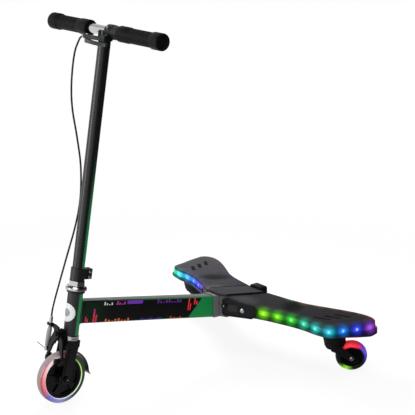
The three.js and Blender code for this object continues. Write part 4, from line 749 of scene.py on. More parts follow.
@dataclass(frozen=True)
class BarGroup:
    """A row of printed bars on the beam: where it starts and ends, and its lowest and highest point.

    The heights swing from bar to bar by that share of the row's height, at that beat.
    """

    start: float
    end: float
    low: float
    high: float
    count: int
    finish: Finish
    fill: float = 0.6
    slant: float = 0.0
    swing: float = 0.38
    beat: float = 1.7

    def outlines(self) -> list[Pairs]:
        """Return the outline of each bar, along the beam and up.

        Returns:
            The outlines.
        """
        pitch = (self.end - self.start) / self.count
        outlines = []
        for number in range(self.count):
            front = -(self.start + number * pitch)
            rear = front - pitch * self.fill
            share = 1 - self.swing + self.swing * math.cos(self.beat * number) if self.count > 1 else 1
            top = self.low + (self.high - self.low) * share
            upper = [(front - self.slant, top), (rear - self.slant, top)]
            outlines.append([(front, self.low), *upper, (rear, self.low)])
        return outlines


BEAM_PRINT = (
    BarGroup(26, 36, -25, -11, 2, ROSE),
    BarGroup(48, 62, -25, 7, 2, ROSE),
    BarGroup(76, 104, 15, 23, 4, PALE, fill=0.5),
    BarGroup(112, 140, 15, 24, 4, MAGENTA, fill=0.5, slant=2),
    BarGroup(144, 190, 16, 24, 1, PURPLE, fill=1.0),
    BarGroup(236, 314, 15, 24, 9, ROSE, fill=0.5),
    BarGroup(334, 346, -6, 24, 2, RED),
    BarGroup(352, 366, 8, 24, 2, RED),
    BarGroup(84, 160, -25, -18, 8, ORANGE, fill=0.5),
    BarGroup(190, 262, -25, -20, 10, PURPLE, fill=0.75, slant=2),
    BarGroup(282, 322, -25, -19, 4, RED, fill=0.4),
)


@dataclass
class MainFrame:
    """The head tube with the beam welded behind it, its printed sides and its front patch."""

    head_radius: float = 18.0
    head_wall: float = 2.8
    head_low: float = 161.9735
    head_high: float = 264.5735
    joint_height: float = 215.5177
    slope: float = 11.2
    beam_width: float = 28.0
    beam_height: float = 55.0
    beam_corner: float = 4.0
    beam_wall: float = 2.2
    beam_length: float = 442.0
    weld_radius: float = 2.0
    weld_ripple: float = 0.12
    ripple_points: int = 6
    patch_height: float = 217.0
    patch_gap: float = 0.15
    patch_edge: float = 0.4
    patches: tuple[tuple[str, float, float, Finish], ...] = (
        ("front_reflector", 21.8, 0.9, WHITE_VINYL),
        ("reflector_middle", 9.5, 1.3, SILVER_VINYL),
    )
    print_start: float = 20.0
    print_end_high: float = 376.0
    print_end_low: float = 341.0
    print_margin: float = 1.2
    print_gap: float = 0.02
    print_thickness: float = 0.2
    bar_sink: float = 0.05
    bar_proud: float = 0.12

    def beam_place(self) -> Matrix:
        """Return the matrix of the beam's own axes, with x forward along it."""
        joint = Matrix.Translation((FOOT - self.joint_height * math.tan(RAKE), 0, self.joint_height))
        return joint @ Matrix.Rotation(-math.radians(self.slope), 4, "Y")

    def coped_x(self, across: float, up: float, radius: float) -> float:
        """Find how far along the beam one of its lines meets the head tube.

        Args:
            across: The line's place across the beam.
            up: Its height above the beam's middle.
            radius: The radius of the tube's surface.

        Returns:
            The place along the beam, negative behind the tube's axis.
        """
        lean = RAKE - math.radians(self.slope)
        return (-math.sqrt(radius**2 - across**2) + up * math.sin(-lean)) / math.cos(lean)

    def beam(self) -> Shape:
        """Build the beam's hollow box, coped to the head tube at its front.

        Returns:
            The beam in its own axes.
        """
        seat = self.head_radius - self.head_wall / 2
        rings = []
        for wall, fronts in ((0.0, (True, False)), (self.beam_wall, (False, True))):
            width, height = self.beam_width - 2 * wall, self.beam_height - 2 * wall
            outline = rounded_rectangle(width, height, self.beam_corner - wall, steps=4)
            for front in fronts:
                ends = [self.coped_x(x, z, seat) if front else -self.beam_length for x, z in outline]
                rings.append([(end, x, z) for end, (x, z) in zip(ends, outline)])
        return lofted(rings, closed=True)

    def weld(self) -> Shape:
        """Build the rippled weld bead where the beam meets the head tube.

        Returns:
            The bead in the beam's axes.
        """
        outline = rounded_rectangle(self.beam_width, self.beam_height, self.beam_corner, steps=6)
        loop = smooth_path([*outline, outline[0]], count=240)[:-1]
        path = np.array([(self.coped_x(across, up, self.head_radius), across, up) for across, up in loop])
        waves = np.sin(np.arange(len(path)) * math.tau / self.ripple_points)
        return swept(path, self.weld_radius * (1 + self.weld_ripple * waves), sides=10, closed=True)

    def patch(self, reach: float, proud: float) -> Shape:
        """Build a round patch that wraps round the front of the head tube.

        Args:
            reach: The patch's radius.
            proud: How far its face stands off the tube.

        Returns:
            The patch in the steering's axes.
        """
        steps, around = 8, 48
        back = [(ring, 0.0) for ring in range(steps + 1)]
        face = [(steps, proud - self.patch_edge), *((ring, proud) for ring in reversed(range(steps)))]
        rings = []
        for ring, lift in back + face:
            radius = self.head_radius + self.patch_gap + lift
            circle = round_points(reach * ring / steps, around)
            turns = [(x / self.head_radius, self.patch_height + y) for x, y in circle]
            rings.append([(radius * math.cos(t), radius * math.sin(t), z) for t, z in turns])
        return lofted(rings)

    def on_side(self, outline: Pairs, low: float, high: float, side: int) -> Shape:
        """Stand an outline of x and z on a side of the beam, between two heights off its metal."""
        flat = drawn(outline, self.beam_width / 2 + low, self.beam_width / 2 + high)
        return Shape(flat.points[:, [0, 2, 1]], flat.faces).mirrored(side)

    def build(self) -> None:
        """Make the frame's pieces and dress them."""
        carried = ("frame", "black_paint")
        wall = self.head_radius - self.head_wall
        ends = (self.head_low, self.head_high)
        tube = [(wall, ends[0]), *((self.head_radius, end) for end in ends), (wall, ends[1])]
        turned(tube, sides=96).piece("head_tube", HEAD_PAINT, STEERING, *carried, "main_frame", bevel=0.6)
        place = self.beam_place()
        self.beam().piece("beam_tube", BEAM_PAINT, place, *carried)
        self.weld().piece("beam_weld", HEAD_PAINT, place, *carried)
        for name, radius, proud, finish in self.patches:
            self.patch(radius, proud).piece(name, finish, STEERING, *carried)
        half = self.beam_height / 2 - self.print_margin - self.beam_corner / 2
        field = [(-self.print_start, -half), (-self.print_start, half)]
        field += [(-self.print_end_high, half), (-self.print_end_low, -half)]
        low, high = self.print_thickness - self.bar_sink, self.print_thickness + self.bar_proud
        for label, side in SIDES.items():
            printed = self.on_side(field, self.print_gap, self.print_thickness, side)
            printed.piece(f"print_field_{label}", DECAL_FIELD, place, *carried)
            for number, group in enumerate(BEAM_PRINT):
                bars = [self.on_side(outline, low, high, side) for outline in group.outlines()]
                row = bars[0].joined(*bars[1:])
                row.piece(f"print_bars_{number}_{label}", group.finish, place, *carried)


@dataclass
class Headset:
    """The bearing cups, cone and locknut round the ends of the head tube."""

    bore: float = 13.0
    spigot: float = 14.9
    spigot_length: float = 8.0
    lower_radius: float = 20.0
    lower_low: float = 151.8735
    lower_high: float = 161.6735
    upper_radius: float = 21.5
    upper_low: float = 264.8735
    upper_high: float = 270.8735
    cone_radius: float = 25.4
    cone_low: float = 271.1735
    cone_shoulder: float = 276.5735
    cone_high: float = 280.1735
    groove: float = 0.9

    def grooved(self, radius: float, low: float, high: float) -> Pairs:
        """Return the outside of a cup with a thin groove round its middle."""
        cut = ((radius, -self.groove), (radius - self.groove, 0), (radius, self.groove))
        return [(radius, low), *((r, (low + high) / 2 + rise) for r, rise in cut), (radius, high)]

    def build(self) -> None:
        """Make the cups and the cone, and dress the locknut."""
        inside = self.lower_high + self.spigot_length
        lower = [(self.bore, self.lower_low)]
        lower += self.grooved(self.lower_radius, self.lower_low, self.lower_high)
        lower += [(self.spigot, self.lower_high), (self.spigot, inside), (self.bore, inside)]
        inside = self.upper_low - self.spigot_length
        upper = [(self.bore, inside), (self.spigot, inside), (self.spigot, self.upper_low)]
        upper += self.grooved(self.upper_radius, self.upper_low, self.upper_high)
        upper.append((self.bore, self.upper_high))
        cone = [(self.bore, self.cone_low), (self.cone_radius, self.cone_low)]
        cone += [(self.cone_radius, self.cone_shoulder), (self.upper_radius, self.cone_high)]
        cone.append((self.bore, self.cone_high))
        for name, profile, finish, body, node, bevel in (
            ("lower_bearing_cup", lower, CHROME, "frame", "lower_cup", 0.4),
            ("upper_bearing_cup", upper, BLACK_PAINT, "frame", "upper_cup", 0.4),
            ("bearing_cone", cone, CHROME, "steering", "upper_cone", 0.8),
        ):
            turned(profile, sides=72).piece(name, finish, STEERING, body, "chrome", node, bevel=bevel)
        dress(CHROME, 0.8, "locknut")


@dataclass
class StemAndBar:
    """The stem, its collar clamp, the handlebar and the grips."""

    stem_radius: float = 14.3
    stem_wall: float = 1.3
    stem_low: float = 293.3735
    weld_radius: float = 1.5
    weld_ripple: float = 0.2
    weld_seat: float = 0.4
    ripple_points: int = 5
    bar_height: float = 868.5735
    bar_radius: float = 11.1
    bar_gap: float = 0.3
    bar_half: float = 205.2
    grip_inner: float = 58.0
    grip_length: float = 151.0
    body_radius: float = 16.9
    inner_radius: float = 18.2
    inner_length: float = 37.0
    outer_radius: float = 19.2
    outer_length: float = 29.0
    edge: float = 2.0
    step: float = 4.0
    recess_radius: float = 13.0
    recess_depth: float = 1.4
    recess_slope: float = 0.8
    end_wall: float = 3.5
    rib_count: int = 22
    rib_height: float = 0.45
    rib_shares: tuple[float, ...] = (0.55, 0.7, 0.85, 1.0)

    def bar_place(self) -> Matrix:
        """Return the handlebar's own axes, with y along the bar."""
        return STEERING @ Matrix.Translation((0, 0, self.bar_height))

    def stem(self) -> Shape:
        """Build the stem tube, with its top coped to sit under the bar.

        Returns:
            The stem in the steering's axes.
        """
        room = self.bar_radius + self.bar_gap
        rings = []
        inside = self.stem_radius - self.stem_wall
        for radius, tops in ((self.stem_radius, (False, True)), (inside, (True, False))):
            circle = round_points(radius, 96)
            cope = [(x, y, self.bar_height - math.sqrt(max(room**2 - x**2, 0))) for x, y in circle]
            rings += [cope if top else [(x, y, self.stem_low) for x, y in circle] for top in tops]
        return lofted(rings, closed=True)

    def stem_weld(self) -> Shape:
        """Build the weld bead round the joint of stem and bar.

        Returns:
            The bead in the bar's axes.
        """
        path = []
        for x, y in round_points(self.stem_radius - self.weld_seat, 160):
            if abs(x) < self.bar_radius:
                path.append((x, y, -math.sqrt(self.bar_radius**2 - x**2)))
            else:
                path.append((math.copysign(self.bar_radius + self.weld_seat, x), y, 0.0))
        waves = np.sin(np.arange(len(path)) * math.tau / self.ripple_points)
        return swept(np.array(path), self.weld_radius + self.weld_ripple * waves, sides=8, closed=True)

    def grip_profile(self) -> Pairs:
        """Return the grip's profile from its inner end, with ribs along its body.

        Returns:
            Radius and height pairs.
        """
        bore = self.bar_radius + self.bar_gap
        start, end = self.inner_length, self.grip_length
        stop = end - self.outer_length - self.step
        profile = [(bore, 0), (self.inner_radius - self.edge, 0)]
        for t in np.linspace(0.3, math.pi / 2, 4):
            back = self.edge * (1 - math.sin(t))
            profile.append((self.inner_radius - back, self.edge * (1 - math.cos(t))))
        profile += [(self.inner_radius, start - self.step), (self.body_radius, start)]
        pitch = (stop - start) / self.rib_count
        for rib in range(self.rib_count):
            for share, sunk in zip(self.rib_shares, (0, self.rib_height, self.rib_height, 0)):
                profile.append((self.body_radius - sunk, start + (rib + share) * pitch))
        profile.append((self.outer_radius, stop + self.step))
        for t in np.linspace(0, math.pi / 2, 5):
            back = self.edge * (1 - math.cos(t))
            profile.append((self.outer_radius - back, end - self.edge * (1 - math.sin(t))))
        floor, wall = end - self.recess_depth, end - self.end_wall
        recess = [(self.recess_radius, end), (self.recess_radius - self.recess_slope, floor), (0, floor)]
        return [*profile, *recess, (0, wall), (bore, wall)]

    def build(self) -> None:
        """Make and dress the pieces of the stem and bar."""
        place = self.bar_place()
        self.stem().piece("stem", STEM_PAINT, STEERING, "steering", "black_paint", "stem_tube")
        self.stem_weld().piece("stem_weld", BLACK_PAINT, place, "steering", "black_paint")
        ends = (-self.bar_half, self.bar_half)
        profile = [(0, ends[0]), *((self.bar_radius, end) for end in ends), (0, ends[1])]
        bar = turned(profile, sides=64, axis=Axis.Y)
        bar.piece("bar_tube", CHROME, place, "steering", "chrome", "handlebar", bevel=0.5)
        grip = turned(self.grip_profile(), sides=80, axis=Axis.Y).shifted(0, self.grip_inner, 0)
        for label, side in SIDES.items():
            carried = ("steering", "black_rubber", f"grip_{label}")
            grip.mirrored(side).piece(f"rubber_grip_{label}", GRIP_RUBBER, place, *carried, crease=50)
        dress(BLACK_PAINT, 0.7, "collar_clamp")
        dress(ZINC, 0.3, "collar_bolt_lower", "collar_bolt_upper")


@dataclass
class BrakeLever:
    """The lever bracket on the left of the bar, its blade, pin, barrel and clamp bolts."""

    clamp_start: float = 14.9
    clamp_length: float = 19.0
    clamp_radius: float = 17.0
    bolt_lifts: tuple[float, float] = (11.0, -10.0)
    bolt_radius: float = 3.4
    bolt_height: float = 3.0
    bolt_depth: float = 4.0
    socket_radius: float = 1.7
    socket_share: float = 0.4

    def clamp_bolts(self) -> Shape:
        """Build the two socket screws in the front of the clamp.

        Returns:
            Both screws in the bar's axes.
        """
        floor = self.bolt_height * self.socket_share
        head = [(0, floor), (self.socket_radius, floor), (self.socket_radius, self.bolt_height)]
        head.append((self.bolt_radius, self.bolt_height))
        head += [(self.bolt_radius, -self.bolt_depth), (0, -self.bolt_depth)]
        bolt = turned(head, sides=32, axis=Axis.X)
        middle = self.clamp_start + self.clamp_length / 2
        spots = [(math.sqrt(self.clamp_radius**2 - lift**2), middle, lift) for lift in self.bolt_lifts]
        return bolt.shifted(*spots[0]).joined(bolt.shifted(*spots[1]))

    def build(self, bar_place: Matrix) -> None:
        """Dress the lever's nodes and add its clamp bolts.

        Args:
            bar_place: The handlebar's own axes.
        """
        dress(CAST, 1.4, "lever_bracket")
        dress(CAST, 2.2, "lever_blade")
        dress(ZINC, 0.3, "lever_pin", "lever_barrel")
        self.clamp_bolts().piece("lever_clamp_bolts", ZINC, bar_place, "steering", "steel", bevel=0.3)


@dataclass
class Caliper:
    """The side pull brake: arms, pads, boot, barrel, anchor, return spring and wire end."""

    pivot_height: float = 167.0
    cable_plane: float = 42.2
    cable_side: float = 25.0
    anchor_side: float = 32.5
    boot_top: float = 12.6
    boot_bottom: float = -39.4
    boot_radius: float = 5.8
    boot_end_radius: float = 3.0
    boot_steps: int = 40
    boot_keep: float = 0.96
    wire_radius: float = 0.8
    wire_knots: Points = (
        (40.7, -32.5, -45.0), (44.0, -38.0, -43.5), (47.0, -48.0, -40.0), (51.0, -58.0, -35.5)
    )
    spring_radius: float = 0.9
    spring_knots: Points = (
        (26.8, -19.0, -30.0), (27.2, -13.0, -12.0), (27.2, -9.5, 4.0), (27.2, 0.0, 11.5), (27.2, 9.5, 4.0),
        (27.2, 14.0, -12.0), (26.8, 20.5, -32.0),
    )

    def boot(self) -> Shape:
        """Build the rubber boot, widest in its middle, with a collar at each end.

        Returns:
            The boot in the pivot's axes.
        """
        run, aside = self.boot_top - self.boot_bottom, self.cable_side - self.anchor_side
        length, lean = math.hypot(run, aside), math.atan2(aside, run)
        bulge = self.boot_radius - self.boot_end_radius
        profile = [(0, 0)]
        for share in np.linspace(0, 1, self.boot_steps + 1):
            swell = math.sin(math.pi * share**0.7) ** 0.8 if 0 < share < 1 else 0
            profile.append((self.boot_end_radius + bulge * swell, -length * share))
        profile.append((0, -length))
        upright = turned(profile, sides=40).moved(Matrix.Rotation(lean, 4, "X"))
        return upright.shifted(self.cable_plane, -self.cable_side, self.boot_top)

    def build(self) -> None:
        """Make and dress the brake's pieces."""
        dress(ARM_PAINT, 0.8, "caliper_arm_inner", "caliper_arm_outer")
        dress(RUBBER, 0.5, "brake_pad_left", "brake_pad_right")
        dress(BLACK_STEEL, 0.4, "caliper_bolt")
        dress(ZINC, 0.4, "cable_anchor")
        dress(CHROME, 0.4, "barrel_adjuster")
        pivot = STEERING @ Matrix.Translation((0, 0, self.pivot_height))
        carried = ("caliper_outer", "grey_rubber", "cable_boot")
        boot = self.boot().piece("rubber_boot", GREY_RUBBER, pivot, *carried)
        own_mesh(boot)
        for name, body, knots, steps, radius in (
            ("inner_wire_end", "caliper_inner", self.wire_knots, 14, self.wire_radius),
            ("return_spring", "steering", self.spring_knots, 60, self.spring_radius),
        ):
            wire = swept(smooth_path(knots, steps), [radius] * (steps + 1), sides=10)
            wire.piece(name, BLACK_STEEL, pivot, body, "steel")


@dataclass(frozen=True)
class Wheel:
    """A cast tyre on a hub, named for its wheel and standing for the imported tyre."""

    name: str
    body: str
    node: str
    radius: float
    width: float
    seat_radius: float
    finish: LitTyre
    bead_share: float = 0.88
    crown_share: float = 0.23
    roundness: float = 2.3

    def tyre_profile(self) -> Pairs:
        """Return the tyre's profile: a flat seat, straight sidewalls and a rounded tread.

        Returns:
            Radius and height pairs.
        """
        half = self.width / 2
        shoulder = self.crown_share * self.width
        power = 2 / self.roundness
        tread = []
        for turn in np.linspace(0, math.pi, 33):
            across, up = math.cos(turn), math.sin(turn)
            radius = self.radius - shoulder + shoulder * abs(up) ** power
            tread.append((radius, math.copysign(half * abs(across) ** power, across)))
        bead, flank = self.bead_share * half, self.seat_radius + self.crown_share * half
        return [(self.seat_radius, bead), (flank, half), *tread, (flank, -half), (self.seat_radius, -bead)]

    def build(self, place: Matrix) -> None:
        """Make the tyre.

        Args:
            place: The wheel's own axes, with y along the axle.
        """
        tyre = turned(self.tyre_profile(), sides=120, axis=Axis.Y)
        carried = (self.body, "clear_tyre", self.node)
        tyre.piece(f"{self.name}_cast_tyre", self.finish, place, *carried, crease=40)


# The front tyre's lamp colours, with a painted highlight in the white ahead of and above the axle; its rims
# are painted reflections on the shoulder and the crown
FRONT_TYRE = LitTyre(
    "front_tyre_lit_polyurethane",
    inner=(
        (0.0, "#c8e8a8"), (0.1, "#e0ecd0"), (0.22, "#f0ecf4"), (0.33, "#c8c0e8"), (0.42, "#f0b0b4"),
        (0.5, "#f4c8c8"), (0.6, "#ffffff"), (0.7, "#f0d0d4"), (0.8, "#5a7a30"), (0.9, "#a8e060"),
        (1.0, "#c8e8a8"),
    ),
    outer=(
        (0.0, "#1c2a1a"), (0.15, "#2a2c3a"), (0.26, "#7f82b4"), (0.36, "#5d5cb8"), (0.42, "#c85a66"),
        (0.5, "#e87e82"), (0.58, "#ecb4b8"), (0.66, "#e8d8dc"), (0.72, "#8c4a54"), (0.8, "#2a3a2c"),
        (0.9, "#20301c"), (1.0, "#1c2a1a"),
    ),
    ring=(50.7, 52.2),
    painted_reflection_rims=(("#4c2c34", (58.4, 59.8), 0.72), ("#6e686a", (61.2, 62.0), 0.86)),
)

CASTER_TYRE = LitTyre(
    "caster_tyre_lit_polyurethane",
    inner=(
        (0.0, "#08080a"), (0.26, "#0a1209"), (0.34, "#86d42e"), (0.42, "#0a1209"), (0.6, "#0a0809"),
        (0.64, "#701018"), (0.69, "#e82434"), (0.83, "#e82434"), (0.88, "#200a1c"), (1.0, "#08080a"),
    ),
    outer=(
        (0.0, "#4838b8"), (0.08, "#2a2070"), (0.14, "#101418"), (0.25, "#16301a"), (0.3, "#5ca028"),
        (0.34, "#a4f038"), (0.4, "#5c9a28"), (0.46, "#10181a"), (0.58, "#0c0c0e"), (0.63, "#a01824"),
        (0.67, "#f42838"), (0.76, "#ff4450"), (0.85, "#f0284a"), (0.9, "#7a3ab8"), (0.96, "#5a48d8"),
        (1.0, "#4838b8"),
    ),
    ring=(30.0, 33.5),
    painted_reflection_rims=(("#20202a", (38.0, 38.9), 0.2),),
)


@dataclass
class FrontEnd:
    """The fork, its fender, the axle, the front wheel and the cable that runs down to its brake."""

    offset: float = 13.7
    axle_height: float = 61.0735
    axle_half: float = 25.8
    pin_seat: float = 0.6
    pin_radius: float = 3.1
    pin_dome: float = 2.2
    wheel: Wheel = Wheel("front", "front_wheel", "front_tyre", 62.5, 24.0, 49.9, FRONT_TYRE)

    def build(self) -> None:
        """Make and dress the front end's pieces."""
        dress(ARM_PAINT, 0.9, "fork")
        dress(FENDER_PLASTIC, 0.6, "front_fender")
        dress(BLACK_STEEL, 0.4, "front_axle", "front_axle_nut")
        dress(HUB_PLASTIC, 0.7, "front_hub")
        dress(ZINC, 0.3, *(f"front_bearing_{label}" for label in SIDES))
        dress(CABLE_SHEATH, 0, "brake_cable")
        place = STEERING @ Matrix.Translation((self.offset, 0, self.axle_height))
        low, profile = self.axle_half - self.pin_seat, []
        for t in np.linspace(0, math.pi / 2, 7):
            profile.append((self.pin_radius * math.cos(t), self.axle_half + self.pin_dome * math.sin(t)))
        pin = turned([(0, low), (self.pin_radius, low), *profile], sides=24, axis=Axis.Y)
        pin.joined(pin.mirrored(-1)).piece("axle_end_pins", CHROME, place, "steering", "steel")
        self.wheel.build(place)


@dataclass
class DeckCentre:
    """The hub casting, its top strip, the tail box with its battery, and the light button."""

    strip_half: float = 33.0
    strip_height: float = 38.2
    strip_slope: float = 9.8
    strip_front: float = 47.0
    strip_rear: float = -77.0
    trim_gap: float = 0.3
    trim_width: float = 3.4
    trim_depth: float = 4.0
    trim_proud: float = 0.7

    def trim(self) -> Shape:
        """Build the black rubber trim in the seam between the strip and the left pad.

        Returns:
            The trim in the deck's axes.
        """
        near = self.strip_half + self.trim_gap - self.trim_width / 2
        far = near + self.trim_width
        rings = []
        for along in (self.strip_rear, self.strip_front):
            top = self.strip_height + math.tan(math.radians(self.strip_slope)) * along + self.trim_proud
            low = top - self.trim_depth
            rings.append([(along, near, low), (along, near, top), (along, far, top), (along, far, low)])
        return lofted(rings)

    def build(self) -> None:
        """Dress the deck centre's nodes and lay its seam trims."""
        dress(GREY_PAINT, 1.0, "hub_casting")
        dress(STRIP_PAD, 1.4, "center_strip")
        dress(BLACK_PLASTIC, 0.8, "tail_box")
        dress(SLEEVE, 0.8, "battery_pack")
        dress(GREY_RUBBER, 0.5, "light_button")
        trims = self.trim().joined(self.trim().mirrored(-1))
        trims.piece("seam_trims", RUBBER, DECK, "frame", "black_rubber", bevel=0.8)


@dataclass
class RootPlate:
    """A root plate with its bolt, the boss and screw at its front end and a raised inner rib.

    Its own axes run along it, up it, and out of its face.
    """

    label: str
    side: int
    angle: float = 119.49
    origin: tuple[float, float] = (52.09, 36.18)
    floor: float = 2.4
    boss_place: tuple[float, float] = (-6.0, 18.5)
    boss_radius: float = 7.0
    boss_height: float = 7.0
    boss_edge: float = 1.2
    screw_radius: float = 2.3
    screw_room: float = 1.0
    screw_sunk: float = 0.8
    screw_flat: float = 1.2
    screw_seat: float = 0.1
    hole_slope: float = 0.4
    rib_place: tuple[float, float] = (17.0, 14.0)
    rib_size: tuple[float, float] = (26.0, 17.0)
    rib_corner: float = 4.0
    rib_sink: float = 0.5
    rib_proud: float = 0.9

    def build(self) -> None:
        """Dress the plate and its bolt, and add the boss, its screw and the rib."""
        dress(BLACK_PLASTIC, 0.8, f"root_plate_{self.label}")
        dress(CHROME, 0.5, f"root_bolt_{self.label}")
        low, high, sunk = self.floor, self.boss_height, self.boss_height - self.screw_sunk
        screw, hole = self.screw_radius, self.screw_radius + self.screw_room
        boss = [(0, low), (self.boss_radius, low), (self.boss_radius, high - self.boss_edge)]
        boss += [(self.boss_radius - self.boss_edge, high), (hole, high)]
        boss += [(hole - self.hole_slope, sunk), (0, sunk)]
        seat, proud = sunk - self.screw_seat, high + self.screw_sunk
        head = [(0, seat), (screw, seat), (screw, high), (self.screw_flat, proud), (0, proud)]
        rib = rounded_rectangle(*self.rib_size, self.rib_corner, steps=4)
        turn = Matrix.Rotation(math.radians(self.angle), 4, "Z") @ Matrix.Rotation(math.pi / 2, 4, "X")
        place = Matrix.Translation((*self.origin, 0)) @ turn
        raised = drawn(rib, low - self.rib_sink, low + self.rib_proud)
        for name, shape, centre, finish, slot in (
            ("boss", turned(boss, sides=40), self.boss_place, BLACK_PLASTIC, "black_plastic"),
            ("screw", turned(head, sides=24), self.boss_place, ZINC, "steel"),
            ("rib", raised, self.rib_place, RIB_PLASTIC, "black_plastic"),
        ):
            stood = shape.shifted(*centre, 0).moved(place).mirrored(self.side)
            stood.piece(f"root_{name}_{self.label}", finish, DECK, "frame", slot, bevel=0.3)


# Shares of the depth and the span at which the wing's front and rear edges pass
EDGE_SHARES = (
    (
        (0, 0), (0.092, 0.131), (0.206, 0.289), (0.269, 0.409), (0.324, 0.534), (0.353, 0.661),
        (0.357, 0.775), (0.408, 0.893), (0.576, 0.936), (0.731, 0.973), (0.908, 1),
    ),
    (
        (0.597, 0), (0.626, 0.117), (0.664, 0.255), (0.723, 0.393), (0.815, 0.527), (0.924, 0.688),
        (0.992, 0.829), (1, 0.916), (0.966, 0.977), (0.908, 1),
    ),
)


@dataclass(frozen=True)
class Wing:
    """A wing deck: its shell, its lit band with lamps, and its grip pad.

    All shapes are built for the left wing in the deck's axes, and the right one mirrors them.
    """

    label: str
    side: int
    lamp_colours: tuple[str, ...]
    warm_cores: int
    white_cores: int
    wash: float
    spill: float
    root: float = 35.0
    span: float = 300.0
    depth: float = 238.0
    front: float = 50.0
    stations: int = 90
    fan_x: float = -113.0
    fan_y: float = 255.0
    height: float = 22.8
    pitch: float = 2.0
    droop: float = 1.47
    droop_start: float = 100.0
    rise_end: float = 120.0
    strip_half: float = 33.0
    strip_height: float = 35.2
    strip_slope: float = 9.8
    skin: float = 7.0
    edge_drop: float = 2.6
    edge_width: float = 9.0
    edge_round: float = 1.4
    pad_steps: tuple[float, ...] = (0, 0.15, 0.4, 0.8, 1.4, 2.4, 4, 6.5, 9, 12)
    inner_steps: int = 14
    inset: float = 1.0
    dish_depth: float = 3.2
    dish_place: tuple[float, float] = (-70.0, 150.0)
    dish_radius: float = 46.0
    dish_oval: tuple[float, float] = (42.0, 27.0)
    dish_turn: float = 39.5
    # Painted shade that darkens the foot dish, and a painted highlight that lightens the toe, where the pad
    # rises to the strip
    dish_shade: float = 0.3
    toe_place: tuple[float, float] = (24.0, 50.0)
    toe_oval: tuple[float, float] = (48.0, 36.0)
    toe_turn: float = 140.5
    toe_painted_highlight: float = 2.1
    vent_place: tuple[float, float] = (-101.5, 258.2)
    vent_pitch: float = 30.0
    vent_row: float = 15.3
    vent_length: float = 42.0
    vent_width: float = 10.0
    vent_depth: float = 2.4
    vent_cut: float = 6.0
    vent_turn: float = -58.0
    insert_gap: float = 0.4
    insert_floor: tuple[float, float] = (0.02, 0.3)
    rib_count: int = 6
    rib_pitch: float = 2.7
    rib_width: float = 1.2
    rib_corner: float = 0.4
    rib_heights: tuple[float, float] = (0.25, 1.5)
    band_height: float = 13.0
    band_thickness: float = 6.0
    band_crown: float = 1.1
    band_front: float = 103.0
    band_rear: float = 66.0
    gap: float = 0.3
    ledge_lap: float = 0.4
    shell_bottom: float = -10.8
    shell_pitch: float = 7.2
    shell_steps: tuple[float, ...] = (0, 0.5, 1.2, 2.2, 3.5, 5, 6.6, 7.8, 8.4, 9.2, 10, 10.9, 11.3, 12.5)
    flare_root: float = 1.5
    flare_tip: float = 5.0
    lower_rise: float = 4.0
    lower_width: float = 10.0
    tip_rise: float = 6.0
    tip_width: float = 12.0
    tip_power: float = 4.0
    lamp_start: float = 119.0
    lamp_spacing: float = 38.2
    lamp_radius: float = 4.6
    lamp_reach: float = 12.0
    pad_reach: float = 13.0
    band_gain: float = 1.45
    wash_share: float = 0.75
    wash_height: float = 10.0
    shell_wash: float = 0.15
    warm_core: str = "#fff02c"
    core_whites: tuple[float, float] = (0.65, 0.12)
    lens: Pairs = ((0, -1), (1, -1), (1, 0.5), (0.75, 1.1), (0.45, 1.4), (0, 1.5))

    def edges(self) -> Edges:
        """Return the points of the front and the rear edge, both from the root to the tip."""
        start, size = np.array([self.front, self.root]), np.array([-self.depth, self.span])
        return tuple(smooth_path(start + np.array(row) * size, self.stations) for row in EDGE_SHARES)

    def along_span(self, root: float, tip: float, y: np.ndarray) -> np.ndarray:
        """Return a size that runs evenly from one at the root to one at the tip."""
        return root + (tip - root) * np.clip((y - self.root) / self.span, 0, 1)

    def pushed_out(self, root: float, tip: float) -> Edges:
        """Move both edges outward, except that their root ends stay on the root plane.

        Args:
            root: The move at the root.
            tip: The move at the tip.

        Returns:
            The moved front and rear edges.
        """
        front, rear = self.edges()
        loop = np.vstack([front, rear[-2::-1]])
        run = np.vstack([loop[1:], loop[-1:]]) - np.vstack([loop[:1], loop[:-1]])
        run /= np.linalg.norm(run, axis=1)[:, None]
        out = np.stack([run[:, 1], -run[:, 0]], axis=1)
        moved = loop + out * self.along_span(root, tip, loop[:, 1:])
        moved[[0, -1], 1] = loop[[0, -1], 1]
        return moved[: len(front)], moved[len(front) - 1 :][::-1]

    def top(self, x: np.ndarray, y: np.ndarray) -> np.ndarray:
        """Return the height of the pad's plane, which rises to the strip at the root.

        Args:
            x: Places along the deck.
            y: Places across it.

        Returns:
            The heights there.
        """
        plane = self.height + math.tan(math.radians(self.pitch)) * x
        plane = plane - math.tan(math.radians(self.droop)) * (y - self.droop_start)
        fade = np.clip(1 - (y - self.strip_half) / (self.rise_end - self.strip_half), 0, 1) ** 1.5
        strip = self.strip_height + math.tan(math.radians(self.strip_slope)) * x
        return plane + np.maximum(strip - plane, 0) * fade

    def dish(self, x: np.ndarray, y: np.ndarray) -> np.ndarray:
        """Return the depth of the foot dish."""
        away = np.hypot(x - self.dish_place[0], y - self.dish_place[1]) / self.dish_radius
        return self.dish_depth * (1 - np.minimum(away, 1) ** 2) ** 2

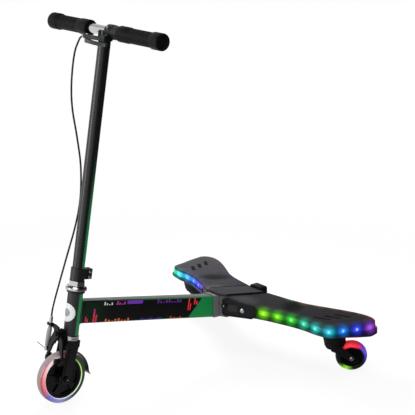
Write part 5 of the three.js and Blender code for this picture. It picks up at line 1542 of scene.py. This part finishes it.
    def slabs(self, edges: Edges, steps: Sequence[float], floor: HeightField, roof: HeightField) -> Shape:
        """Build a closed body over the wing, with rows from edge to edge that fan round the tip.

        Args:
            edges: The front and rear edges.
            steps: Distances in from each edge that get a row of points.
            floor: The height of its underside for x, y and the distance to the edge.
            roof: The height of its top.

        Returns:
            The body.
        """
        middle = (edges[0][0, 0] + edges[1][0, 0]) / 2
        rows, reach = [], []
        for ends in zip(*edges):
            along = float(np.clip((ends[0][1] + ends[1][1]) / 2, self.root, self.fan_y))
            share = (along - self.root) / (self.fan_y - self.root)
            spine = np.array([middle + (self.fan_x - middle) * share, along])
            halves, marks = [], []
            for end in ends:
                length = float(np.linalg.norm(spine - end))
                near = [min(step, length * 0.5 * (i + 1) / len(steps)) for i, step in enumerate(steps)]
                mark = np.array([*near, *np.linspace(near[-1], length, self.inner_steps + 1)[1:]])
                halves.append(end + np.outer(mark / length, spine - end))
                marks.append(mark)
            rows.append(np.vstack([halves[0], halves[1][-2::-1]]))
            reach.append(np.concatenate([marks[0], marks[1][-2::-1]]))
        flat, away = np.array(rows), np.array(reach)
        x, y = flat[..., 0], flat[..., 1]
        under, over = (np.stack([x, y, level(x, y, away)], axis=-1) for level in (floor, roof))
        body = lofted(np.concatenate([under, over[:, ::-1]], axis=1))
        last = 2 * away.shape[1] - 1
        root = [(j, j + 1, last - 1 - j, last - j) for j in range(away.shape[1] - 1)]
        return Shape(body.points, body.faces[:-2] + root)

    def pad(self) -> Shape:
        """Build the grip pad, with its rolled rim and its dish.

        Returns:
            The left pad.
        """

        def roof(x: np.ndarray, y: np.ndarray, edge: np.ndarray) -> np.ndarray:
            """Return the height of the pad's top."""
            drop = self.edge_drop * (1 - np.minimum(edge / self.edge_width, 1)) ** 2
            near = np.clip(1 - edge / self.edge_round, 0, 1)
            return self.top(x, y) - self.dish(x, y) - drop - self.edge_round * (1 - np.sqrt(1 - near**2))

        edges = self.pushed_out(-self.inset, -self.inset)
        return self.slabs(edges, self.pad_steps, lambda x, y, edge: self.top(x, y) - self.skin, roof)

    def shell(self) -> Shape:
        """Build the lower shell, with the ledge that holds the lit band.

        Returns:
            The left shell.
        """

        def roof(x: np.ndarray, y: np.ndarray, edge: np.ndarray) -> np.ndarray:
            """Return the height of the shell's top, cut down where the band lies on its ledge."""
            ahead = np.arange(edge.shape[1]) < edge.shape[1] // 2
            outer_y = np.where(ahead, y[:, :1], y[:, -1:])
            ledge = self.along_span(self.flare_root, self.flare_tip, outer_y) + self.band_thickness
            beside = outer_y >= np.where(ahead, self.band_front, self.band_rear)
            cut = beside & (edge < ledge + self.gap - self.ledge_lap)
            return self.top(x, y) - self.skin - self.gap - np.where(cut, self.band_height + self.gap, 0)

        def floor(x: np.ndarray, y: np.ndarray, edge: np.ndarray) -> np.ndarray:
            """Return the height of the shell's underside, which rises to its edge."""
            tip = self.along_span(0, 1, y) ** self.tip_power
            width = self.lower_width + self.tip_width * tip
            rise = (self.lower_rise + self.tip_rise * tip) * (1 - np.minimum(edge / width, 1)) ** 2
            return self.shell_bottom + math.tan(math.radians(self.shell_pitch)) * x + rise

        edges = self.pushed_out(self.flare_root, self.flare_tip)
        for edge in edges:
            edge[0, 1] = self.strip_half + self.gap
        return self.slabs(edges, self.shell_steps, floor, roof)

    def band_path(self) -> Edges:
        """Return the path of the lit band, as outer and inner points round the wing.

        Returns:
            The outer and the inner points.
        """
        own = self.edges()
        ahead, behind = own[0][:, 1] >= self.band_front, own[1][:, 1] >= self.band_rear
        inner = self.pushed_out(-self.band_thickness, -self.band_thickness)
        outer, inner = (np.vstack([front[ahead], rear[behind][-2::-1]]) for front, rear in (own, inner))
        return outer, inner

    def band_low(self, x: float, y: float) -> float:
        """Return the height of the band's lower edge."""
        return float(self.top(np.array(x), np.array(y))) - self.skin - self.band_height - self.gap

    def band(self) -> Shape:
        """Build the lit band with its gently crowned face.

        Returns:
            The left band.
        """
        rings = []
        for place, within in zip(*self.band_path()):
            toward = (within - place) / np.linalg.norm(within - place)
            rises = np.linspace(0, 1, 7)
            ring = [(*(place + toward * self.band_crown * (2 * up - 1) ** 2), up) for up in rises]
            ring += [(*within, 1), (*within, 0)]
            rings.append([(x, y, self.band_low(x, y) + self.band_height * up) for x, y, up in ring])
        return lofted(rings)

    @cache
    def lamps(self) -> list[tuple[Matrix, np.ndarray]]:
        """Find the lamps round the band.

        Returns:
            Each lamp's place, with z pointing out of the band, and its linear colour.
        """
        outer, inner = self.band_path()
        walked = walk(outer)
        third = len(outer) // 3
        first = float(np.interp(self.lamp_start, outer[:third, 1], walked[:third]))
        lamps = []
        for number, colour in enumerate(self.lamp_colours):
            at = first + number * self.lamp_spacing
            if at > walked[-1] - self.lamp_radius:
                break
            x, y, *out = (float(np.interp(at, walked, column)) for column in (*outer.T, *(outer - inner).T))
            turn = Vector((*out, 0)).to_track_quat("Z", "Y").to_matrix().to_4x4()
            middle = Matrix.Translation((x, y, self.band_low(x, y) + self.band_height / 2))
            lamps.append((middle @ turn, np.array(linear(colour))))
        return lamps

    def corners(self, piece: Object) -> np.ndarray:
        """Return a piece's corners in millimetres, as they lie on the left wing."""
        return np.array([v.co for v in piece.data.vertices], float) / MM * (1, self.side, 1)

    def store(self, piece: Object, name: str, colours: np.ndarray) -> None:
        """Store a colour for each corner of a piece."""
        layer = piece.data.color_attributes.new(name, "FLOAT_COLOR", "POINT")
        layer.data.foreach_set("color", colours.ravel())

    def lit(self, piece: Object, reach: float, gain: float, wash: float = 0.0) -> None:
        """Store on a piece, as glow, the light that the lamps throw on it: the band's own light, and
        painted light on the shell and the pad.

        Args:
            piece: The piece, in the deck's own axes.
            reach: How far a lamp's light spreads, in millimetres.
            gain: How strong it is.
            wash: How strong the light is that fills the space between the lamps.
        """
        corners = self.corners(piece)
        total, mixed = np.zeros((2, len(corners), 4))
        weight = np.zeros((len(corners), 1))
        for place, colour in self.lamps():
            offset = corners - np.array(place.translation)
            total += np.exp(-(offset**2).sum(axis=1, keepdims=True) / reach**2) * colour * gain
            level = np.hypot(offset[:, :1], offset[:, 1:2]) / (self.wash_share * self.lamp_spacing)
            spread = np.exp(-(level**2) - (offset[:, 2:] / self.wash_height) ** 2)
            mixed += spread * colour
            weight += spread
        total += wash * np.minimum(weight, 1) / np.maximum(weight, WELD) * mixed
        total[:, 3] = 1
        self.store(piece, "glow", total)

    def tint(self, pad: Object) -> None:
        """Store on the pad its painted light: painted shade in the foot dish, and a painted highlight at
        the toe.

        Args:
            pad: The pad's piece.
        """
        corners = self.corners(pad)
        tint = np.ones((len(corners), 4))
        for (x, y), (long, short), turn, shade in (
            (self.dish_place, self.dish_oval, self.dish_turn, self.dish_shade),
            (self.toe_place, self.toe_oval, self.toe_turn, self.toe_painted_highlight),
        ):
            dx, dy = corners[:, :1] - x, corners[:, 1:2] - y
            c, s = math.cos(math.radians(turn)), math.sin(math.radians(turn))
            away = np.hypot((dx * c + dy * s) / long, (dy * c - dx * s) / short)
            tint[:, :3] *= 1 + (shade - 1) * np.exp(-(away**4))
        self.store(pad, "tint", tint)

    def lamp_windows(self) -> None:
        """Make the small round windows of the lamps, bright in the middle of each."""
        radius = self.lamp_radius
        lens = turned([(radius * share, height) for share, height in self.lens], sides=24)
        for number, (place, halo) in enumerate(self.lamps()):
            made = self.add(lens.moved(place), f"lamp_{number}", LAMP, "clear_plastic", crease=60)
            white = self.core_whites[0] if number < self.white_cores else self.core_whites[1]
            core = (1 - white) * halo + white
            if number < self.warm_cores:
                core = np.array(linear(self.warm_core))
            normal = np.array(place.to_3x3() @ Vector((0, 0, 1)))
            flat = self.corners(made) - np.array(place.translation)
            flat -= np.outer(flat @ normal, normal)
            share = np.clip(1 - np.linalg.norm(flat, axis=1, keepdims=True) / radius, 0, 1) ** 0.6
            self.store(made, "glow", halo * (1 - share) + core * share)

    def round_bar(self, length: float, width: float, low: float, high: float) -> Shape:
        """Build a bar with round ends.

        Args:
            length: Its whole length.
            width: Its width.
            low: The height of its underside.
            high: The height of its top.

        Returns:
            The bar, along x.
        """
        half = (length - width) / 2
        outline = [(half + x, y) for x, y in round_points(width / 2, 12, -math.pi / 2, math.pi / 2)]
        outline += [(x - half, y) for x, y in round_points(width / 2, 12, math.pi / 2, 1.5 * math.pi)]
        return drawn(outline, low, high)

    def in_vents(self, *shapes: Shape) -> Shape:
        """Put shapes into each of the three vent slots.

        Args:
            shapes: What one slot holds, along x and from its floor up.

        Returns:
            All of them as one.
        """
        row = math.radians(self.vent_row)
        filled = []
        for away in (-self.vent_pitch, 0, self.vent_pitch):
            x, y = self.vent_place[0] - away * math.cos(row), self.vent_place[1] + away * math.sin(row)
            place = Matrix.Translation((x, y, float(self.top(np.array(x), np.array(y))) - self.vent_depth))
            place = place @ Matrix.Rotation(math.radians(self.vent_turn), 4, "Z")
            filled += [shape.moved(place) for shape in shapes]
        return filled[0].joined(*filled[1:])

    def carve_vents(self, pad: Object) -> None:
        """Cut the vent slots into the pad, and lay a ribbed black insert in each.

        Args:
            pad: The pad's piece.
        """
        tools = self.in_vents(self.round_bar(self.vent_length, self.vent_width, 0, self.vent_cut))
        cutter = tools.mirrored(self.side).placed("vent_cutter", GRIP_PAD.material(), DECK)
        cut = pad.modifiers.new("vents", "BOOLEAN")
        cut.object = cutter
        cut.solver = "EXACT"
        bpy.context.view_layer.update()
        carved = bpy.data.meshes.new_from_object(pad.evaluated_get(bpy.context.evaluated_depsgraph_get()))
        pad.modifiers.clear()
        pad.data = carved
        bpy.data.objects.remove(cutter)
        length, width = self.vent_length - 2 * self.insert_gap, self.vent_width - 2 * self.insert_gap
        across = self.vent_width - 2 * self.rib_width
        outline = rounded_rectangle(self.rib_width, across, self.rib_corner, steps=2)
        rib = drawn(outline, *self.rib_heights)
        ribs = [rib.shifted(n * self.rib_pitch, 0, 0) for n in range(-self.rib_count, self.rib_count + 1)]
        inserts = self.in_vents(self.round_bar(length, width, *self.insert_floor), *ribs)
        made = self.add(inserts, "vent_inserts", BLACK_PLASTIC, "black_plastic")
        add_bevel(made, 0.2)

    def add(
        self, shape: Shape, name: str, finish: Finish, slot: str, *nodes: str, crease: float = 30.0
    ) -> Object:
        """Make a shape of the left wing into this wing's piece.

        Args:
            shape: The shape.
            name: The piece's name without its side.
            finish: Its surface.
            slot: The record's material slot.
            nodes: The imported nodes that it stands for, without their side.
            crease: The angle from which an edge stays sharp, in degrees.

        Returns:
            The piece.
        """
        packed = [f"{node}_{self.label}" for node in nodes]
        own = shape.mirrored(self.side)
        return own.piece(f"{name}_{self.label}", finish, DECK, "frame", slot, *packed, crease=crease)

    def build(self) -> None:
        """Make and dress the wing's pieces."""
        shell = self.add(self.shell(), "shell", SHELL_PLASTIC, "black_plastic", "wing_shell", crease=35)
        # The lamps' light on the black shell is painted on it as glow
        self.lit(shell, self.lamp_reach, self.spill, self.wash * self.shell_wash)
        band = self.add(self.band(), "lit_band", BAND_PLASTIC, "clear_plastic", "light_band", crease=50)
        self.lit(band, self.lamp_reach, self.band_gain, self.wash)
        pad = self.add(self.pad(), "grip_pad", GRIP_PAD, "deck_plastic", "deck_pad", crease=35)
        self.carve_vents(pad)
        # The lamps' light on the pad is painted on it as glow, then its painted shade and highlight
        self.lit(pad, self.pad_reach, self.spill)
        self.tint(pad)
        self.lamp_windows()


LEFT_LAMPS = (
    "#78e400", "#58dc00", "#1fd41c", "#0cc894", "#10c4c0", "#10c0d8", "#1280f0", "#2c44f0",
    "#9040d4", "#e03c84", "#f04a40", "#f07a38", "#f4b030", "#f4c840", "#e8d44c", "#58d49c",
)
RIGHT_LAMPS = (
    "#7830dc", "#3038f4", "#2060f8", "#2aa4f8", "#20dcd4", "#20dca4", "#3cdc68", "#8ce04c",
    "#e8c850", "#f49a5c", "#f47050", "#f44c6c", "#dc44a0", "#b444c4", "#7a44dc", "#5044ec",
)


@dataclass
class Caster:
    """An inclined caster: its mount, its fork and its small wheel."""

    label: str
    side: int
    along: float = -98.0
    across: float = 274.0
    height: float = 67.39
    incline: float = 15.0
    swivel: float = 42.0
    trail: float = 33.0
    drop: float = 36.0
    radius: float = 39.0
    width: float = 24.0
    hub_radius: float = 27.0
    hub_gap: float = 0.3
    rim_share: float = 0.86
    rim_half: float = 0.42
    web_half: float = 0.36
    ring_width: float = 2.4
    dish: float = 1.2
    dish_edge: float = 4.0
    boss_slope: float = 1.0
    boss_radius: float = 12.0
    boss_width: float = 25.0
    bore: float = 3.9

    def place(self) -> Matrix:
        """Return the wheel's own axes, with y along the axle.

        Returns:
            The matrix in millimetres.
        """
        frame = Matrix.Translation((DECK_X + self.along, self.side * self.across, self.height))
        lean = Matrix.Rotation(math.radians(self.incline), 4, "Y")
        turn = Matrix.Rotation(math.radians(-self.side * self.swivel), 4, "Z")
        return frame @ lean @ turn @ Matrix.Translation((-self.trail, 0, -self.drop))

    def hub(self) -> Shape:
        """Build the hub: a dished web with a raised ring, a boss and a rim.

        Returns:
            The hub in the wheel's axes.
        """
        inside, boss, half = self.rim_share * self.hub_radius, self.boss_radius, self.boss_width / 2
        rim, web = self.rim_half * self.width, self.web_half * self.width
        low = web - self.dish
        upper = [(self.bore, half), (boss, half), (boss + self.boss_slope, web)]
        upper += [(boss + self.dish_edge, low)]
        upper += [(inside - self.dish_edge, low), (inside - self.ring_width, web)]
        upper += [(inside, web), (inside, rim), (self.hub_radius, rim)]
        lower = [(radius, -height) for radius, height in reversed(upper)]
        return turned(upper + lower, sides=96, axis=Axis.Y)

    def build(self) -> None:
        """Make and dress the caster's pieces."""
        dress(BLACK_PLASTIC, 0.5, f"caster_mount_{self.label}")
        dress(BLACK_PLASTIC, 0.9, f"caster_fork_{self.label}")
        dress(CHROME, 0.4, f"caster_axle_{self.label}")
        name, body, tyre = f"caster_{self.label}", f"caster_wheel_{self.label}", f"caster_tyre_{self.label}"
        seat = self.hub_radius + self.hub_gap
        Wheel(name, body, tyre, self.radius, self.width, seat, CASTER_TYRE).build(self.place())
        carried = (body, "black_plastic", f"caster_hub_{self.label}")
        self.hub().piece(f"{name}_nylon_hub", HUB_PLASTIC, self.place(), *carried, bevel=0.5)


@dataclass
class Studio:
    """The pale floor, the white surround with its painted dark reflections, the soft lamps and the camera,
    in metres.
    """

    camera_place: Point = (1.9577, 2.507, 1.328)
    camera_target: Point = (-0.11395, 0.0, 0.3913)
    lens: float = 119.3
    floor_half: float = 30.0
    floor_colour: str = "#f4f4f4"
    floor_white: float = 0.88
    floor_ring: tuple[float, float] = (0.7, 1.6)
    floor_fade: float = 0.7
    wall_fade: float = 0.35
    # Glossy rays see a painted dark ceiling above and a painted dark reflection on one side, where nothing
    # stands
    ceiling: tuple[float, float] = (0.4, 0.75)
    painted_dark_side: Point = (-0.7712, 0.6366, 0.0)
    painted_dark_level: float = 0.03
    painted_ceiling_level: float = 0.1
    fill: float = 0.62

    def painted_reflection_level(self, new: Adder, place: Socket, reach: float) -> Node:
        """Return how white the studio is where a glossy surface mirrors it.

        It is white behind the scooter and to its front, and dark on one side: a painted reflection of a
        black flag that stands nowhere in the scene.

        Args:
            new: Adds a node to the material or the world.
            place: The place or the direction that is mirrored.
            reach: How far the change from white to dark spreads.

        Returns:
            The strength, from nearly 0 to 1.
        """
        toward = new("VectorMath", {0: place, 1: self.painted_dark_side}, operation="DOT_PRODUCT")
        limits = ranged(toward, -reach, reach, 1.0, self.painted_dark_level)
        return new("MapRange", limits, interpolation_type="SMOOTHSTEP")

    def floor(self) -> None:
        """Lay a pale floor that keeps the scooter's shadow and is otherwise as white as the surround, with
        a painted dark reflection on one side where glossy surfaces mirror it.
        """
        half = self.floor_half / MM
        corners = np.array([(-half, -half, 0), (half, -half, 0), (half, half, 0), (-half, half, 0)])
        material, new = new_material("pale_studio_floor")
        rays = new("LightPath").outputs
        place = new("TexCoord").outputs["Object"]
        away = new("VectorMath", {0: place}, operation="LENGTH")
        limits = ranged(away, *self.floor_ring, self.floor_white, 1.0)
        white = new("MapRange", limits, interpolation_type="SMOOTHSTEP")
        clear = new("Math", {0: rays["Is Camera Ray"], 1: white}, operation="MULTIPLY")
        share = new("Math", {0: clear, 1: rays["Is Glossy Ray"]}, operation="MAXIMUM")
        # Glossy rays see the floor darkened on one side, a painted reflection
        mirrored = self.painted_reflection_level(new, place, self.floor_fade)
        level = new("Mix", {0: rays["Is Glossy Ray"], 2: 1.0, 3: mirrored})
        plain = new("BsdfDiffuse", {"Color": linear(self.floor_colour)})
        bright = new("Emission", {"Color": (1, 1, 1, 1), "Strength": level})
        new("OutputMaterial", {"Surface": new("MixShader", {0: share, 1: plain, 2: bright})})
        Shape(corners, [(0, 1, 2, 3)]).placed("studio_floor", material, Matrix.Identity(4))

    def surround(self) -> None:
        """Set the world: white where it is seen, white with a painted dark side and a painted dark ceiling
        where it is mirrored, and a plain level as light.
        """
        world = bpy.data.worlds.new("studio_surround")
        world.use_nodes = True
        world.node_tree.nodes.clear()
        new = partial(add_node, world.node_tree)
        rays = new("LightPath").outputs
        place = new("TexCoord").outputs["Generated"]
        seen = new("Math", {0: rays["Is Camera Ray"], 1: rays["Is Transmission Ray"]}, operation="MAXIMUM")
        level = new("MapRange", ranged(seen, 0, 1, self.fill, 1.0))
        # Glossy rays see a painted dark ceiling and a painted dark side
        height = new("SeparateXYZ", {0: place}).outputs["Z"]
        limits = ranged(height, *self.ceiling, 1.0, self.painted_ceiling_level)
        ceiling = new("MapRange", limits, interpolation_type="SMOOTHSTEP")
        sides = self.painted_reflection_level(new, place, self.wall_fade)
        mirrored = new("Math", {0: sides, 1: ceiling}, operation="MULTIPLY")
        strength = new("Mix", {0: rays["Is Glossy Ray"], 2: level, 3: mirrored})
        light = new("Background", {"Color": (1, 1, 1, 1), "Strength": strength})
        new("OutputWorld", {"Surface": light})
        bpy.context.scene.world = world

    def aimed(self, data: bpy.types.ID, place: Point, target: Point) -> Object:
        """Put a lamp or the camera in the scene, facing a point.

        Args:
            data: The lamp's or the camera's data.
            place: Where it stands.
            target: The point that it faces.

        Returns:
            The new object.
        """
        made = bpy.data.objects.new(data.name, data)
        bpy.context.scene.collection.objects.link(made)
        made.location = place
        made.rotation_mode = "QUATERNION"
        made.rotation_quaternion = (Vector(target) - Vector(place)).to_track_quat("-Z", "Y")
        return made

    def lamp(
        self,
        name: str,
        place: Point,
        aim: Point,
        size: tuple[float, float],
        power: float,
        mirrored: bool = True,
    ) -> None:
        """Hang a soft lamp that the camera doesn't see.

        Args:
            name: The lamp's name.
            place: Where it hangs.
            aim: The point that it faces.
            size: Its width and height.
            power: Its power in watts.
            mirrored: Whether glossy surfaces mirror it.
        """
        data = bpy.data.lights.new(name, "AREA")
        data.shape = "RECTANGLE"
        data.size, data.size_y = size
        data.energy = power
        lamp = self.aimed(data, place, aim)
        lamp.visible_camera = False
        lamp.visible_glossy = mirrored

    def build(self) -> None:
        """Set up the whole studio, with the camera where the photograph was taken from."""
        data = bpy.data.cameras.new("photograph_view")
        data.lens = self.lens
        data.clip_end = 100
        bpy.context.scene.camera = self.aimed(data, self.camera_place, self.camera_target)
        self.surround()
        self.floor()
        self.lamp("key_lamp", (2.9, -0.9, 1.1), self.camera_target, (0.7, 2.0), 30)
        self.lamp("top_lamp", (0.6, 0.6, 3.0), self.camera_target, (1.6, 1.6), 26)
        self.lamp("deck_lamp", (-0.34, -0.42, 0.5), (-0.27, -0.22, 0.14), (0.35, 0.35), 6.5, mirrored=False)
        bpy.context.scene.view_settings.view_transform = "Standard"


def main() -> None:
    """Build the studio and every sub-assembly in order."""
    logging.basicConfig(level=logging.INFO, format="%(message)s")
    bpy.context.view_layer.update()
    upper = StemAndBar()
    for assembly in (Studio(), MainFrame(), Headset(), upper):
        assembly.build()
    BrakeLever().build(upper.bar_place())
    for assembly in (Caliper(), FrontEnd(), DeckCentre()):
        assembly.build()
    Wing("left", 1, LEFT_LAMPS, 2, 8, wash=0.0, spill=0.8).build()
    Wing("right", -1, RIGHT_LAMPS, 0, 16, wash=0.5, spill=0.35).build()
    for label, side in SIDES.items():
        RootPlate(label, side).build()
        Caster(label, side).build()


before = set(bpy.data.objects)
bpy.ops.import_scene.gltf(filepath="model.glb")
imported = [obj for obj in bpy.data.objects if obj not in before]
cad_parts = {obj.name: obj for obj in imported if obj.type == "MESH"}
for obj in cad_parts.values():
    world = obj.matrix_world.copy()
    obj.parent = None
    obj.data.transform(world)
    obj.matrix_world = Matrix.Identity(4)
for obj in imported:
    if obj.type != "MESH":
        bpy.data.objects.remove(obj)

if __name__ == "__main__":
    main()
